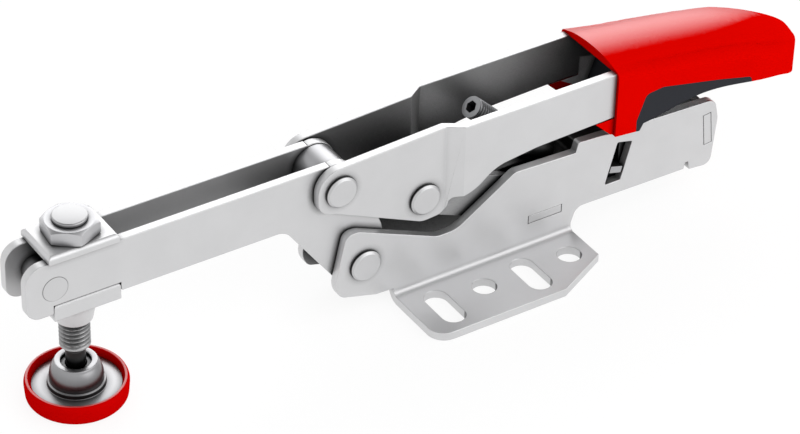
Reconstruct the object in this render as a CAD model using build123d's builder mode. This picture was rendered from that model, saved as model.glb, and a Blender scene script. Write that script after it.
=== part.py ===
"""Horizontal toggle clamp with a self-adjusting base, as separate pieces.

Millimetres, +Z up. The origin lies on the bench, in the middle of the four round mounting holes.
+X runs from the pressure spindle towards the grip, and -Y is the near side.
The clamp is shown closed: the foot stands on the bench plane and the grip lies over the base.
"""

import math
import os

from build123d import *

# Driving dimensions: sheet and layers, measured outwards from the middle plane
SHEET = 2.5
ARM_GAP = 8.3
LAYER_GAP = 0.3
RUN_FIT = 0.07
SEAT_FIT = 0.02

# Pivots, as (x, z)
ARM_PIVOT = (-44.9, 15.8)
HANDLE_PIVOT = (-52.5, 41.8)
LINK_PIVOT = (-27.1, 30.1)
SLIDE_PIVOT = (-1.7, 19.6)
RIVET_RADIUS = 3.0
RIVET_HEAD_RADIUS = 4.5
RIVET_HEAD_HEIGHT = 1.3

# Mounting flange
HOLE_PITCH_X = 27.1
HOLE_PITCH_Y = 37.1
HOLE_RADIUS = 3.3
SLOT_PITCH_Y = 40.8
SLOT_LENGTH = 14.6
FLANGE_FRONT_X = -35.9
FLANGE_REAR_X = 20.4
FLANGE_REACH_Y = 30.6
FLANGE_CORNER_RADIUS = 5.0
FLANGE_CHAMFER_X = 16.0
FLANGE_CHAMFER_Y = 8.0
BEND_RADIUS = 1.5

# Base walls
LUG_RADIUS = 9.1
LUG_TOP_Z = 26.9
WALL_DIP_Z = 16.3
WALL_MIDDLE_Z = 28.0
WALL_STEP_X = 20.6
WALL_STEP_Z = 30.2
WALL_SADDLE_X = 41.4
WALL_SADDLE_Z = 27.6
WALL_REAR_Z = 29.4
WALL_REAR_X = 67.9
WALL_FOOT_Z = 8.6
WALL_NICK_X = 58.4
WALL_NICK_DEPTH = 2.0

# Tie plates between the walls
TIE_THICKNESS = 2.5
TIE_FIT = 0.05
FRONT_TIE_X = 11.6
FRONT_TIE_Z = 10.75
FRONT_TIE_WIDTH = 10.6
REAR_TIE_X = 64.6
REAR_TIE_Z = 19.4
REAR_TIE_TAB_HEIGHT = 9.9
REAR_TIE_HEIGHT = 14.0
REAR_TIE_LEAN = 6.0

# Arm
ARM_TOP_Z = 48.3
ARM_HEIGHT = 15.5
ARM_LEG_RUN = 22.2
ARM_TIP_X = -140.2
ARM_TIP_RADIUS = 5.0
ARM_PIVOT_ROUND = 7.9
ARM_TAIL_ROUND = 6.6
TIP_RIVET_X = -132.1
TIP_RIVET_RISE = 5.0
TIP_RIVET_RADIUS = 2.3
TIP_RIVET_HEAD_RADIUS = 3.5
TIP_SPACER_RADIUS = 3.7

# Pressure spindle and its seat
SPINDLE_X = -124.1
SPINDLE_RADIUS = 4.0
SADDLE_LENGTH = 19.5
SADDLE_THICKNESS = 2.3
SADDLE_OVERHANG = 0.8
SADDLE_ROUND = 1.3
NOTCH_LENGTH = 18.6
NOTCH_DEPTH = 2.5
CARRIER_HEIGHT = 4.9
CARRIER_ROUND = 1.2
COLLAR_TOP_RADIUS = 6.0
COLLAR_END_RADIUS = 4.8
COLLAR_LENGTH = 5.9
NUT_ACROSS_FLATS = 13.0
NUT_HEIGHT = 4.0
NUT_TURN = 24.0
SPINDLE_PROUD = 1.1
NECK_RADIUS = 2.6
NECK_TOP_Z = 15.0
BALL_RADIUS = 3.3
BALL_Z = 7.4

# Swivel foot
BALL_FIT = 0.1
FOOT_DISC_RADIUS = 11.7
FOOT_DISC_HEIGHT = 2.0
FOOT_BELL_RADIUS = 7.4
FOOT_BELL_EDGE = 1.0
FOOT_BELL_BULGE = 0.4
FOOT_BOSS_RADIUS = 5.6
FOOT_TOP_Z = 11.0
FOOT_MOUTH_RADIUS = 3.9
RING_INNER_RADIUS = 2.75
RING_OUTER_RADIUS = 4.05
RING_THICKNESS = 0.6
RING_Z = 9.75
RING_PLAY = 0.45
CAP_RADIUS = 13.4
CAP_HEIGHT = 5.7
CAP_FLOOR = 1.8
CAP_LIP = 1.3
CAP_GRIP = 0.3
CAP_ROUND = 1.0

# Handle plates
HANDLE_FRONT_ROUND = 6.6
HANDLE_LINK_ROUND = 7.2
HANDLE_TOP_Z = 50.2
HANDLE_BOTTOM_Z = 36.9
JOGGLE = 2.75
JOGGLE_START_X = -21.0
JOGGLE_END_X = -16.8
TANG_START_X = 34.0
TANG_END_X = 66.0
TANG_HEIGHT = 6.0
TANG_Z = 45.4
TANG_INSET = 3.4
TANG_FALL = 5.0

# Grip, a hollow moulding over both tangs with a soft insert below
GRIP_FRONT_X = 30.4
GRIP_WALL = 0.95
GRIP_FIT = 0.05
GRIP_LIP_Z = 53.0
GRIP_CROWN = 2.2
GRIP_TURN_X = 76.0
GRIP_END_X = 97.6
GRIP_END_ROUND = 5.0
GRIP_SKIRT_Z = 31.2
GRIP_TONGUE_REACH = 5.9
GRIP_CAVITY_END_Z = 45.0
INSERT_FRONT_X = 37.4
INSERT_REAR_X = 78.4
INSERT_TOP_Z = 41.9
INSERT_REAR_Z = 35.0

# Toggle link
LINK_FRONT_ROUND = 6.0
LINK_REAR_ROUND = 6.4
LINK_PIN_RADIUS = 3.0

# Adjusting slide, its screw, wedge bar and spring
SLIDE_TRAVEL = 1.57
PIN_STRAY = 7.8
PIN_LIFT = 0.55
TONGUE_HALF_WIDTH = 3.85
SLIDE_TOP_Z = 29.0
SLIDE_FRONT_X = 13.4
SLIDE_REAR_X = 47.5
SLIDE_DECK_X = 21.9
SLIDE_SHOULDER_Z = 25.0
SCREW_TOP = (-7.1, 46.2)
SCREW_SLOPE = 43.7
SCREW_RADIUS = 3.0
SCREW_LENGTH = 32.0
SCREW_SOCKET_FLATS = 3.0
SCREW_SOCKET_DEPTH = 3.0
SCREW_BOSS_RADIUS = 4.5
SCREW_BOSS_START = 24.0
WEDGE_SLOT_LEAN = 15.2
WEDGE_SLOT_LENGTH = 13.1
WEDGE_SLOT_WIDTH = 5.1
WEDGE_SLOT_TOP_FALL = 1.2
WEDGE_SLOT_FOOT = (30.9, 13.0)
WEDGE_SLOT_CORNER = 0.5
BAR_WIDTH = 4.0
BAR_THICKNESS = 2.0
BAR_REST_RISE = 3.8
BAR_TRAVEL = 6.0
SPRING_RADIUS = 1.9
SPRING_WIRE_RADIUS = 0.35
SPRING_TURNS = 3

# Layers that follow from the sheet and the gaps
ARM_INNER_Y = ARM_GAP / 2
ARM_OUTER_Y = ARM_INNER_Y + SHEET
WALL_INNER_Y = ARM_OUTER_Y + LAYER_GAP
WALL_OUTER_Y = WALL_INNER_Y + SHEET
GRIP_PLATE_INNER_Y = WALL_INNER_Y + JOGGLE
GRIP_PLATE_OUTER_Y = GRIP_PLATE_INNER_Y + SHEET
ARM_BOTTOM_Z = ARM_TOP_Z - ARM_HEIGHT
NOTCH_TOP_Z = ARM_BOTTOM_Z + NOTCH_DEPTH
TIP_RIVET_Z = NOTCH_TOP_Z + TIP_RIVET_RISE
GRIP_HALF_WIDTH = GRIP_PLATE_OUTER_Y + GRIP_FIT + GRIP_WALL

os.makedirs("parts", exist_ok=True)


def save(piece, name):
    """Label a finished piece and write it as its own file."""
    piece.part.label = name
    export_step(piece.part, f"parts/{name}.step")


def side_plane(y):
    """The plane of a sheet on the near side that starts y from the middle and grows outwards."""
    return Plane.XZ.offset(y)


def lean(point, angle, distance):
    """The point that lies the distance from another, along a direction leaning back by the angle."""
    return (
        point[0] + distance * math.sin(math.radians(angle)),
        point[1] + distance * math.cos(math.radians(angle)),
    )


# Base plates: an upright wall with its mounting flange bent outwards
front_slot_x = -HOLE_PITCH_X
front_hole_x = -HOLE_PITCH_X / 2
rear_hole_x = HOLE_PITCH_X / 2
wedge_slot_rear = (WEDGE_SLOT_FOOT[0] + WEDGE_SLOT_WIDTH, WEDGE_SLOT_FOOT[1])
lug_left_x = ARM_PIVOT[0] - LUG_RADIUS
bend_top_z = BEND_RADIUS + SHEET + 0.5
wall_points = [
    (lug_left_x, ARM_PIVOT[1] - LUG_RADIUS / 2),
    (lug_left_x + 3.4, LUG_TOP_Z),
    (ARM_PIVOT[0] - 2.0, LUG_TOP_Z),
    (-22.6, WALL_DIP_Z),
    (-16.8, WALL_DIP_Z),
    (1.2, WALL_MIDDLE_Z),
    (WALL_STEP_X, WALL_MIDDLE_Z - 0.8),
    (WALL_STEP_X + 0.8, WALL_STEP_Z),
    (WALL_STEP_X + 9.0, WALL_STEP_Z - 0.4),
    (WALL_SADDLE_X, WALL_SADDLE_Z),
    (WALL_SADDLE_X + 1.2, WALL_REAR_Z),
    (WALL_REAR_X - 1.4, WALL_REAR_Z - 1.0),
    (WALL_REAR_X, 22.0),
    (WALL_REAR_X - 1.4, WALL_FOOT_Z - 1.4),
    (WALL_NICK_X + 0.9, WALL_FOOT_Z - 0.7),
    (WALL_NICK_X + 0.5, WALL_FOOT_Z + WALL_NICK_DEPTH),
    (WALL_NICK_X - 0.5, WALL_FOOT_Z + WALL_NICK_DEPTH),
    (WALL_NICK_X - 0.9, WALL_FOOT_Z),
    (FLANGE_REAR_X + 1.5, WALL_FOOT_Z + 0.5),
    (FLANGE_REAR_X, bend_top_z),
    (FLANGE_FRONT_X, bend_top_z),
    (FLANGE_FRONT_X - 5.3, bend_top_z + 0.2),
    (lug_left_x + 2.0, ARM_PIVOT[1] - LUG_RADIUS + 1.0),
]
lug_radii = [6.0, 2.5, 3.5]
wall_top_radii = [6.0, 8.0, 3.0, 0.2, 0.8, 6.0, 0.4, 0.6, 3.0]
wall_foot_radii = [6.0, 2.5, 0, 0.3, 0.3, 0, 3.0, 0, 0, 2.0, 3.0]

with BuildPart() as base_plate_near:
    with BuildSketch(side_plane(WALL_INNER_Y)):
        with BuildLine():
            FilletPolyline(*wall_points, radius=lug_radii + wall_top_radii + wall_foot_radii, close=True)
        make_face()
    extrude(amount=SHEET)
    with BuildSketch(Plane.YZ.offset(FLANGE_FRONT_X)):
        with BuildLine():
            FilletPolyline(
                (-WALL_INNER_Y, bend_top_z),
                (-WALL_INNER_Y, 0),
                (-FLANGE_REACH_Y, 0),
                (-FLANGE_REACH_Y, SHEET),
                (-WALL_OUTER_Y, SHEET),
                (-WALL_OUTER_Y, bend_top_z),
                radius=[0, BEND_RADIUS + SHEET, 0, 0, BEND_RADIUS, 0],
                close=True,
            )
        make_face()
    extrude(amount=FLANGE_REAR_X - FLANGE_FRONT_X)
    upright = base_plate_near.edges().filter_by(Axis.Z)
    flange_corners = upright.filter_by_position(Axis.Y, -FLANGE_REACH_Y, -FLANGE_REACH_Y).sort_by(Axis.X)
    fillet(flange_corners[0], radius=FLANGE_CORNER_RADIUS)
    chamfer(
        flange_corners[-1],
        length=FLANGE_CHAMFER_X,
        length2=FLANGE_CHAMFER_Y,
        reference=base_plate_near.faces().sort_by(Axis.Y)[0],
    )
    with Locations((front_hole_x, -HOLE_PITCH_Y / 2, SHEET), (rear_hole_x, -HOLE_PITCH_Y / 2, SHEET)):
        Hole(radius=HOLE_RADIUS)
    with BuildSketch(Plane.XY):
        with Locations((front_slot_x, -SLOT_PITCH_Y / 2), (0, -SLOT_PITCH_Y / 2)):
            SlotOverall(SLOT_LENGTH, 2 * HOLE_RADIUS, rotation=90)
    extrude(amount=SHEET, mode=Mode.SUBTRACT)
    with BuildSketch(side_plane(WALL_INNER_Y)):
        with Locations(ARM_PIVOT):
            Circle(RIVET_RADIUS + SEAT_FIT)
        with Locations((FRONT_TIE_X, FRONT_TIE_Z)):
            Rectangle(FRONT_TIE_WIDTH + 2 * TIE_FIT, TIE_THICKNESS + 2 * TIE_FIT)
        with Locations((REAR_TIE_X, REAR_TIE_Z)):
            Rectangle(TIE_THICKNESS + 2 * TIE_FIT, REAR_TIE_TAB_HEIGHT + 2 * TIE_FIT, rotation=REAR_TIE_LEAN)
        with BuildLine():
            FilletPolyline(
                WEDGE_SLOT_FOOT,
                wedge_slot_rear,
                lean(wedge_slot_rear, WEDGE_SLOT_LEAN, WEDGE_SLOT_LENGTH - WEDGE_SLOT_TOP_FALL),
                lean(WEDGE_SLOT_FOOT, WEDGE_SLOT_LEAN, WEDGE_SLOT_LENGTH),
                radius=WEDGE_SLOT_CORNER,
                close=True,
            )
        make_face()
    extrude(amount=SHEET, mode=Mode.SUBTRACT)
save(base_plate_near, "base_plate_near")

with BuildPart() as base_plate_far:
    mirror(base_plate_near.part, about=Plane.XZ)
save(base_plate_far, "base_plate_far")

# Tie plates: each has a shoulder between the walls and a tab through each wall
with BuildPart() as front_tie:
    with BuildSketch(Plane.XZ):
        with Locations((FRONT_TIE_X, FRONT_TIE_Z)):
            Rectangle(FRONT_TIE_WIDTH, TIE_THICKNESS)
    extrude(amount=WALL_OUTER_Y, both=True)
save(front_tie, "front_tie")

with BuildPart() as rear_tie:
    with BuildSketch(Plane.XZ):
        with Locations((REAR_TIE_X, REAR_TIE_Z)):
            Rectangle(TIE_THICKNESS, REAR_TIE_TAB_HEIGHT, rotation=REAR_TIE_LEAN)
    extrude(amount=WALL_OUTER_Y, both=True)
    with BuildSketch(Plane.XZ):
        with Locations((REAR_TIE_X, REAR_TIE_Z)):
            Rectangle(TIE_THICKNESS, REAR_TIE_HEIGHT, rotation=REAR_TIE_LEAN)
    extrude(amount=WALL_INNER_Y - TIE_FIT, both=True)
save(rear_tie, "rear_tie")


# Rivets: a shank on the cross axis with a low domed head at each outer face
def rivet(centre, shank_radius, head_y):
    """A rivet through the whole clamp, with its heads seated at head_y on both sides."""
    with BuildPart() as piece:
        with BuildSketch(Plane.XZ):
            with Locations(centre):
                Circle(shank_radius)
        extrude(amount=head_y, both=True)
        for side in (side_plane(head_y), side_plane(-head_y)):
            outwards = 1 if side.origin.Y < 0 else -1
            with BuildSketch(side):
                with Locations(centre):
                    Circle(RIVET_HEAD_RADIUS)
            extrude(amount=outwards * RIVET_HEAD_HEIGHT)
        tops = piece.faces().filter_by(Axis.Y).sort_by(Axis.Y)
        chamfer((tops[0].edges() + tops[-1].edges()), length=RIVET_HEAD_HEIGHT / 2)
    return piece


arm_pivot_rivet = rivet(ARM_PIVOT, RIVET_RADIUS, WALL_OUTER_Y)
save(arm_pivot_rivet, "arm_pivot_rivet")

handle_rivet = rivet(HANDLE_PIVOT, RIVET_RADIUS, WALL_OUTER_Y)
save(handle_rivet, "handle_rivet")


# Bushes keep the plates apart and turn on the rivets
def bush(centre, outer_radius, bore_radius, half_length):
    """A plain sleeve on a cross axis, centred on the middle plane."""
    with BuildPart() as piece:
        with BuildSketch(Plane.XZ):
            with Locations(centre):
                Circle(outer_radius)
                Circle(bore_radius, mode=Mode.SUBTRACT)
        extrude(amount=half_length, both=True)
    return piece


arm_pivot_bush = bush(ARM_PIVOT, ARM_TAIL_ROUND - 1.0, RIVET_RADIUS + RUN_FIT, ARM_INNER_Y - RUN_FIT)
save(arm_pivot_bush, "arm_pivot_bush")

handle_bush = bush(HANDLE_PIVOT, ARM_TAIL_ROUND - 0.4, RIVET_RADIUS + RUN_FIT, ARM_INNER_Y - RUN_FIT)
save(handle_bush, "handle_bush")

tip_spacer = bush((TIP_RIVET_X, TIP_RIVET_Z), TIP_SPACER_RADIUS, TIP_RIVET_RADIUS + SEAT_FIT, ARM_INNER_Y)
save(tip_spacer, "tip_spacer")

tip_head_depth = TIP_RIVET_HEAD_RADIUS - TIP_RIVET_RADIUS
with BuildPart() as tip_rivet:
    with BuildSketch(Plane.XZ):
        with Locations((TIP_RIVET_X, TIP_RIVET_Z)):
            Circle(TIP_RIVET_RADIUS)
    extrude(amount=ARM_OUTER_Y, both=True)
    with Locations(Plane(origin=(TIP_RIVET_X, -ARM_OUTER_Y, TIP_RIVET_Z), z_dir=(0, -1, 0))):
        Cone(
            bottom_radius=TIP_RIVET_RADIUS,
            top_radius=TIP_RIVET_HEAD_RADIUS,
            height=tip_head_depth,
            align=(Align.CENTER, Align.CENTER, Align.MAX),
        )
    mirror(about=Plane.XZ)
save(tip_rivet, "tip_rivet")

# Arm plates: a straight bar, a leg down to the pivot and a round tail behind the handle's pivot
notch_front_x = SPINDLE_X - NOTCH_LENGTH / 2 + 0.7
notch_rear_x = notch_front_x + NOTCH_LENGTH
leg_start_x = ARM_PIVOT[0] - ARM_LEG_RUN
arm_points = [
    (ARM_TIP_X, ARM_TOP_Z),
    (ARM_TIP_X, ARM_BOTTOM_Z),
    (notch_front_x, ARM_BOTTOM_Z),
    (notch_front_x, NOTCH_TOP_Z),
    (notch_rear_x, NOTCH_TOP_Z),
    (notch_rear_x, ARM_BOTTOM_Z),
    (leg_start_x, ARM_BOTTOM_Z),
    (ARM_PIVOT[0] - 6.5, ARM_PIVOT[1] - 4.5),
    ARM_PIVOT,
    (ARM_PIVOT[0] + ARM_PIVOT_ROUND - 0.3, ARM_PIVOT[1] + 1.9),
    (ARM_PIVOT[0] + ARM_PIVOT_ROUND - 1.3, ARM_PIVOT[1] + 9.0),
    (HANDLE_PIVOT[0] + ARM_TAIL_ROUND - 0.4, HANDLE_PIVOT[1] + 1.6),
    HANDLE_PIVOT,
    (HANDLE_PIVOT[0] - 1.5, ARM_TOP_Z),
]
arm_radii = [ARM_TIP_RADIUS, 4.0, 0.6, 0, 0, 0.6, 5.0, 0, 0, 0, 6.0, 0, 0, 0]

with BuildPart() as arm_plate_near:
    with BuildSketch(side_plane(ARM_INNER_Y)):
        with BuildLine():
            FilletPolyline(*arm_points, radius=arm_radii, close=True)
        make_face()
        with Locations(ARM_PIVOT):
            Circle(ARM_PIVOT_ROUND)
        with Locations(HANDLE_PIVOT):
            Circle(ARM_TOP_Z - HANDLE_PIVOT[1])
        with Locations(ARM_PIVOT, HANDLE_PIVOT):
            Circle(RIVET_RADIUS + RUN_FIT, mode=Mode.SUBTRACT)
    extrude(amount=SHEET)
    with Locations(Plane(origin=(TIP_RIVET_X, -ARM_OUTER_Y, TIP_RIVET_Z), z_dir=(0, -1, 0))):
        CounterSinkHole(
            radius=TIP_RIVET_RADIUS + SEAT_FIT,
            counter_sink_radius=TIP_RIVET_HEAD_RADIUS + SEAT_FIT,
            counter_sink_angle=90,
        )
save(arm_plate_near, "arm_plate_near")

with BuildPart() as arm_plate_far:
    mirror(arm_plate_near.part, about=Plane.XZ)
save(arm_plate_far, "arm_plate_far")

# Saddle on the arm's top edges, with a guide between the plates
with BuildPart() as saddle:
    with BuildSketch(Plane.XY.offset(ARM_TOP_Z)):
        with Locations((SPINDLE_X, 0)):
            Rectangle(SADDLE_LENGTH, 2 * (ARM_OUTER_Y + SADDLE_OVERHANG))
    extrude(amount=SADDLE_THICKNESS)
    fillet(saddle.faces().sort_by(Axis.Z)[-1].edges(), radius=SADDLE_ROUND)
    with BuildSketch(Plane.XY.offset(ARM_TOP_Z)):
        with Locations((SPINDLE_X, 0)):
            Rectangle(
                SADDLE_LENGTH / 2 - 2.0, 2 * (ARM_INNER_Y - SEAT_FIT), align=(Align.MIN, Align.CENTER)
            )
    extrude(amount=-ARM_HEIGHT / 4)
    with Locations((SPINDLE_X, 0, ARM_TOP_Z + SADDLE_THICKNESS)):
        Hole(radius=SPINDLE_RADIUS + RUN_FIT)
save(saddle, "saddle")

# Carrier in the arm's notch, with the threaded collar below it
carrier_bottom_z = NOTCH_TOP_Z - CARRIER_HEIGHT
with BuildPart() as spindle_carrier:
    with BuildSketch(Plane.XY.offset(carrier_bottom_z)):
        with Locations((notch_front_x + NOTCH_LENGTH / 2, 0)):
            Rectangle(NOTCH_LENGTH - 2 * SEAT_FIT, 2 * ARM_OUTER_Y)
    extrude(amount=CARRIER_HEIGHT)
    fillet(spindle_carrier.faces().sort_by(Axis.Z)[-1].edges(), radius=CARRIER_ROUND)
    with Locations((SPINDLE_X, 0, carrier_bottom_z)):
        Cone(
            bottom_radius=COLLAR_END_RADIUS,
            top_radius=COLLAR_TOP_RADIUS,
            height=COLLAR_LENGTH,
            align=(Align.CENTER, Align.CENTER, Align.MAX),
        )
    with Locations((SPINDLE_X, 0, NOTCH_TOP_Z)):
        Hole(radius=SPINDLE_RADIUS + RUN_FIT)
save(spindle_carrier, "spindle_carrier")

# Lock nut on the saddle
nut_base_z = ARM_TOP_Z + SADDLE_THICKNESS
nut_corner_radius = NUT_ACROSS_FLATS / math.sqrt(3)
with BuildPart() as lock_nut:
    with BuildSketch(Plane.XY.offset(nut_base_z)):
        with Locations((SPINDLE_X, 0)):
            RegularPolygon(nut_corner_radius, side_count=6, rotation=NUT_TURN)
    extrude(amount=NUT_HEIGHT)
    with BuildSketch(Plane.XZ):
        with BuildLine():
            Polyline(
                (SPINDLE_X, nut_base_z),
                (SPINDLE_X + NUT_ACROSS_FLATS / 2, nut_base_z),
                (SPINDLE_X + nut_corner_radius, nut_base_z + 0.6),
                (SPINDLE_X + nut_corner_radius, nut_base_z + NUT_HEIGHT - 0.6),
                (SPINDLE_X + NUT_ACROSS_FLATS / 2 - 0.3, nut_base_z + NUT_HEIGHT),
                (SPINDLE_X, nut_base_z + NUT_HEIGHT),
                close=True,
            )
        make_face()
    revolve(axis=Axis((SPINDLE_X, 0, 0), (0, 0, 1)), mode=Mode.INTERSECT)
    with Locations((SPINDLE_X, 0, nut_base_z + NUT_HEIGHT)):
        CounterSinkHole(
            radius=SPINDLE_RADIUS + RUN_FIT,
            counter_sink_radius=SPINDLE_RADIUS + 0.65,
            counter_sink_angle=90,
        )
save(lock_nut, "lock_nut")

# Spindle: threaded shank, neck and ball
spindle_top_z = nut_base_z + NUT_HEIGHT + SPINDLE_PROUD
ball_joint_z = BALL_Z + math.sqrt(BALL_RADIUS**2 - NECK_RADIUS**2)
with BuildPart() as spindle:
    with BuildSketch(Plane.XZ):
        with BuildLine():
            Polyline(
                (SPINDLE_X, spindle_top_z),
                (SPINDLE_X + SPINDLE_RADIUS - 0.8, spindle_top_z),
                (SPINDLE_X + SPINDLE_RADIUS, spindle_top_z - 0.8),
                (SPINDLE_X + SPINDLE_RADIUS, NECK_TOP_Z + SPINDLE_RADIUS - NECK_RADIUS),
                (SPINDLE_X + NECK_RADIUS, NECK_TOP_Z),
                (SPINDLE_X + NECK_RADIUS, ball_joint_z),
            )
            ThreePointArc(
                (SPINDLE_X + NECK_RADIUS, ball_joint_z),
                (SPINDLE_X + BALL_RADIUS, BALL_Z),
                (SPINDLE_X, BALL_Z - BALL_RADIUS),
            )
            Line((SPINDLE_X, BALL_Z - BALL_RADIUS), (SPINDLE_X, spindle_top_z))
        make_face()
    revolve(axis=Axis((SPINDLE_X, 0, 0), (0, 0, 1)))
save(spindle, "spindle")

# Swivel foot: a flared disc with a socket for the ball and a groove for the snap ring
socket_radius = BALL_RADIUS + BALL_FIT
foot_bottom_z = CAP_FLOOR
disc_top_z = foot_bottom_z + FOOT_DISC_HEIGHT
groove_radius = RING_OUTER_RADIUS + RING_PLAY - 0.1
groove_bottom_z = RING_Z - RING_THICKNESS / 2 - RING_PLAY
groove_top_z = RING_Z + RING_THICKNESS / 2 + RING_PLAY
bell_foot = (SPINDLE_X + FOOT_BELL_RADIUS, disc_top_z + FOOT_BELL_EDGE)
bell_top = (SPINDLE_X + FOOT_BOSS_RADIUS, FOOT_TOP_Z - 0.4)
bell_middle = (
    (bell_foot[0] + bell_top[0]) / 2 + FOOT_BELL_BULGE,
    (bell_foot[1] + bell_top[1]) / 2,
)
with BuildPart() as swivel_foot:
    with BuildSketch(Plane.XZ):
        with BuildLine():
            Polyline(
                (SPINDLE_X, BALL_Z - socket_radius),
                (SPINDLE_X, foot_bottom_z),
                (SPINDLE_X + FOOT_DISC_RADIUS, foot_bottom_z),
                (SPINDLE_X + FOOT_DISC_RADIUS, disc_top_z),
                (SPINDLE_X + FOOT_BELL_RADIUS, disc_top_z),
                bell_foot,
            )
            ThreePointArc(bell_foot, bell_middle, bell_top)
            Polyline(
                bell_top,
                (SPINDLE_X + FOOT_BOSS_RADIUS - 0.4, FOOT_TOP_Z),
                (SPINDLE_X + FOOT_MOUTH_RADIUS, FOOT_TOP_Z),
                (SPINDLE_X + FOOT_MOUTH_RADIUS, groove_top_z),
                (SPINDLE_X + groove_radius, groove_top_z),
                (SPINDLE_X + groove_radius, groove_bottom_z),
                (SPINDLE_X + socket_radius, groove_bottom_z),
                (SPINDLE_X + socket_radius, BALL_Z),
            )
            ThreePointArc(
                (SPINDLE_X + socket_radius, BALL_Z),
                (
                    SPINDLE_X + socket_radius * math.sqrt(0.5),
                    BALL_Z - socket_radius * math.sqrt(0.5),
                ),
                (SPINDLE_X, BALL_Z - socket_radius),
            )
        make_face()
    revolve(axis=Axis((SPINDLE_X, 0, 0), (0, 0, 1)))
save(swivel_foot, "swivel_foot")

with BuildPart() as snap_ring:
    with BuildSketch(Plane.XY.offset(RING_Z - RING_THICKNESS / 2)):
        with Locations((SPINDLE_X, 0)):
            Circle(RING_OUTER_RADIUS)
            Circle(RING_INNER_RADIUS, mode=Mode.SUBTRACT)
        with Locations((SPINDLE_X, -RING_OUTER_RADIUS)):
            Rectangle(1.2, 2 * RING_OUTER_RADIUS - RING_INNER_RADIUS, mode=Mode.SUBTRACT)
    extrude(amount=RING_THICKNESS)
save(snap_ring, "snap_ring")

# Soft cap pulled over the foot's disc
cap_inner_radius = FOOT_DISC_RADIUS
with BuildPart() as foot_cap:
    with BuildSketch(Plane.XZ):
        with BuildLine():
            FilletPolyline(
                (SPINDLE_X, 0),
                (SPINDLE_X + CAP_RADIUS - 0.4, 0),
                (SPINDLE_X + CAP_RADIUS, CAP_HEIGHT - 1.0),
                (SPINDLE_X + CAP_RADIUS - 0.5, CAP_HEIGHT),
                (SPINDLE_X + CAP_RADIUS - CAP_LIP, CAP_HEIGHT),
                (SPINDLE_X + cap_inner_radius - CAP_GRIP, disc_top_z),
                (SPINDLE_X + cap_inner_radius, disc_top_z),
                (SPINDLE_X + cap_inner_radius, CAP_FLOOR),
                (SPINDLE_X, CAP_FLOOR),
                radius=[0, CAP_ROUND, 0, 0, 0, 0, 0, 0, 0],
                close=True,
            )
        make_face()
    revolve(axis=Axis((SPINDLE_X, 0, 0), (0, 0, 1)))
save(foot_cap, "foot_cap")


# Handle plates: the side outline is cut from a strip that is stepped outwards behind the link
def strip_band(inner_y, outer_y):
    """Plan of the stepped strip, with its two faces at the given places in front of the step."""
    return [
        (HANDLE_PIVOT[0] - 2 * HANDLE_FRONT_ROUND, -inner_y),
        (JOGGLE_START_X, -inner_y),
        (JOGGLE_END_X, -inner_y - JOGGLE),
        (GRIP_FRONT_X, -inner_y - JOGGLE),
        (TANG_END_X, -inner_y - JOGGLE + TANG_INSET),
        (TANG_END_X, -outer_y - JOGGLE + TANG_INSET),
        (GRIP_FRONT_X, -outer_y - JOGGLE),
        (JOGGLE_END_X, -outer_y - JOGGLE),
        (JOGGLE_START_X, -outer_y),
        (HANDLE_PIVOT[0] - 2 * HANDLE_FRONT_ROUND, -outer_y),
    ]


handle_points = [
    (HANDLE_PIVOT[0] - HANDLE_FRONT_ROUND, HANDLE_PIVOT[1] + HANDLE_FRONT_ROUND),
    (HANDLE_PIVOT[0] - HANDLE_FRONT_ROUND, HANDLE_PIVOT[1] - HANDLE_FRONT_ROUND + 0.8),
    (HANDLE_PIVOT[0] - 1.5, HANDLE_PIVOT[1] - HANDLE_FRONT_ROUND),
    (LINK_PIVOT[0] - 0.5, LINK_PIVOT[1] - HANDLE_LINK_ROUND),
    (LINK_PIVOT[0] + HANDLE_LINK_ROUND - 0.5, LINK_PIVOT[1] - HANDLE_LINK_ROUND + 0.5),
    (LINK_PIVOT[0] + HANDLE_LINK_ROUND, LINK_PIVOT[1] - 2.0),
    (-13.3, 29.2),
    (-7.0, 34.4),
    (6.0, 36.0),
    (TANG_START_X, HANDLE_BOTTOM_Z),
    (TANG_START_X, TANG_Z - TANG_HEIGHT / 2),
    (TANG_END_X, TANG_Z - TANG_HEIGHT / 2 - TANG_FALL),
    (TANG_END_X, TANG_Z + TANG_HEIGHT / 2 - TANG_FALL),
    (TANG_START_X, TANG_Z + TANG_HEIGHT / 2),
    (TANG_START_X, HANDLE_TOP_Z),
    (-19.5, HANDLE_TOP_Z),
]
handle_front_radii = [HANDLE_FRONT_ROUND - 0.1, 5.0, 3.0, 5.5, 3.5, 2.0]
handle_rear_radii = [12.0, 12.0, 20.0, 1.0, 0, 1.5, 1.5, 0, 1.0, 20.0]

with BuildPart() as handle_plate_near:
    with BuildSketch(Plane.XY.offset(LINK_PIVOT[1] - 2 * HANDLE_LINK_ROUND)):
        with BuildLine():
            Polyline(*strip_band(WALL_INNER_Y, WALL_OUTER_Y), close=True)
        make_face()
    extrude(amount=HANDLE_TOP_Z)
    with BuildSketch(Plane.XZ):
        with BuildLine():
            FilletPolyline(*handle_points, radius=handle_front_radii + handle_rear_radii, close=True)
        make_face()
        with Locations(HANDLE_PIVOT, LINK_PIVOT):
            Circle(RIVET_RADIUS + SEAT_FIT, mode=Mode.SUBTRACT)
    extrude(amount=3 * GRIP_PLATE_OUTER_Y, both=True, mode=Mode.INTERSECT)
save(handle_plate_near, "handle_plate_near")

with BuildPart() as handle_plate_far:
    mirror(handle_plate_near.part, about=Plane.XZ)
save(handle_plate_far, "handle_plate_far")

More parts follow.
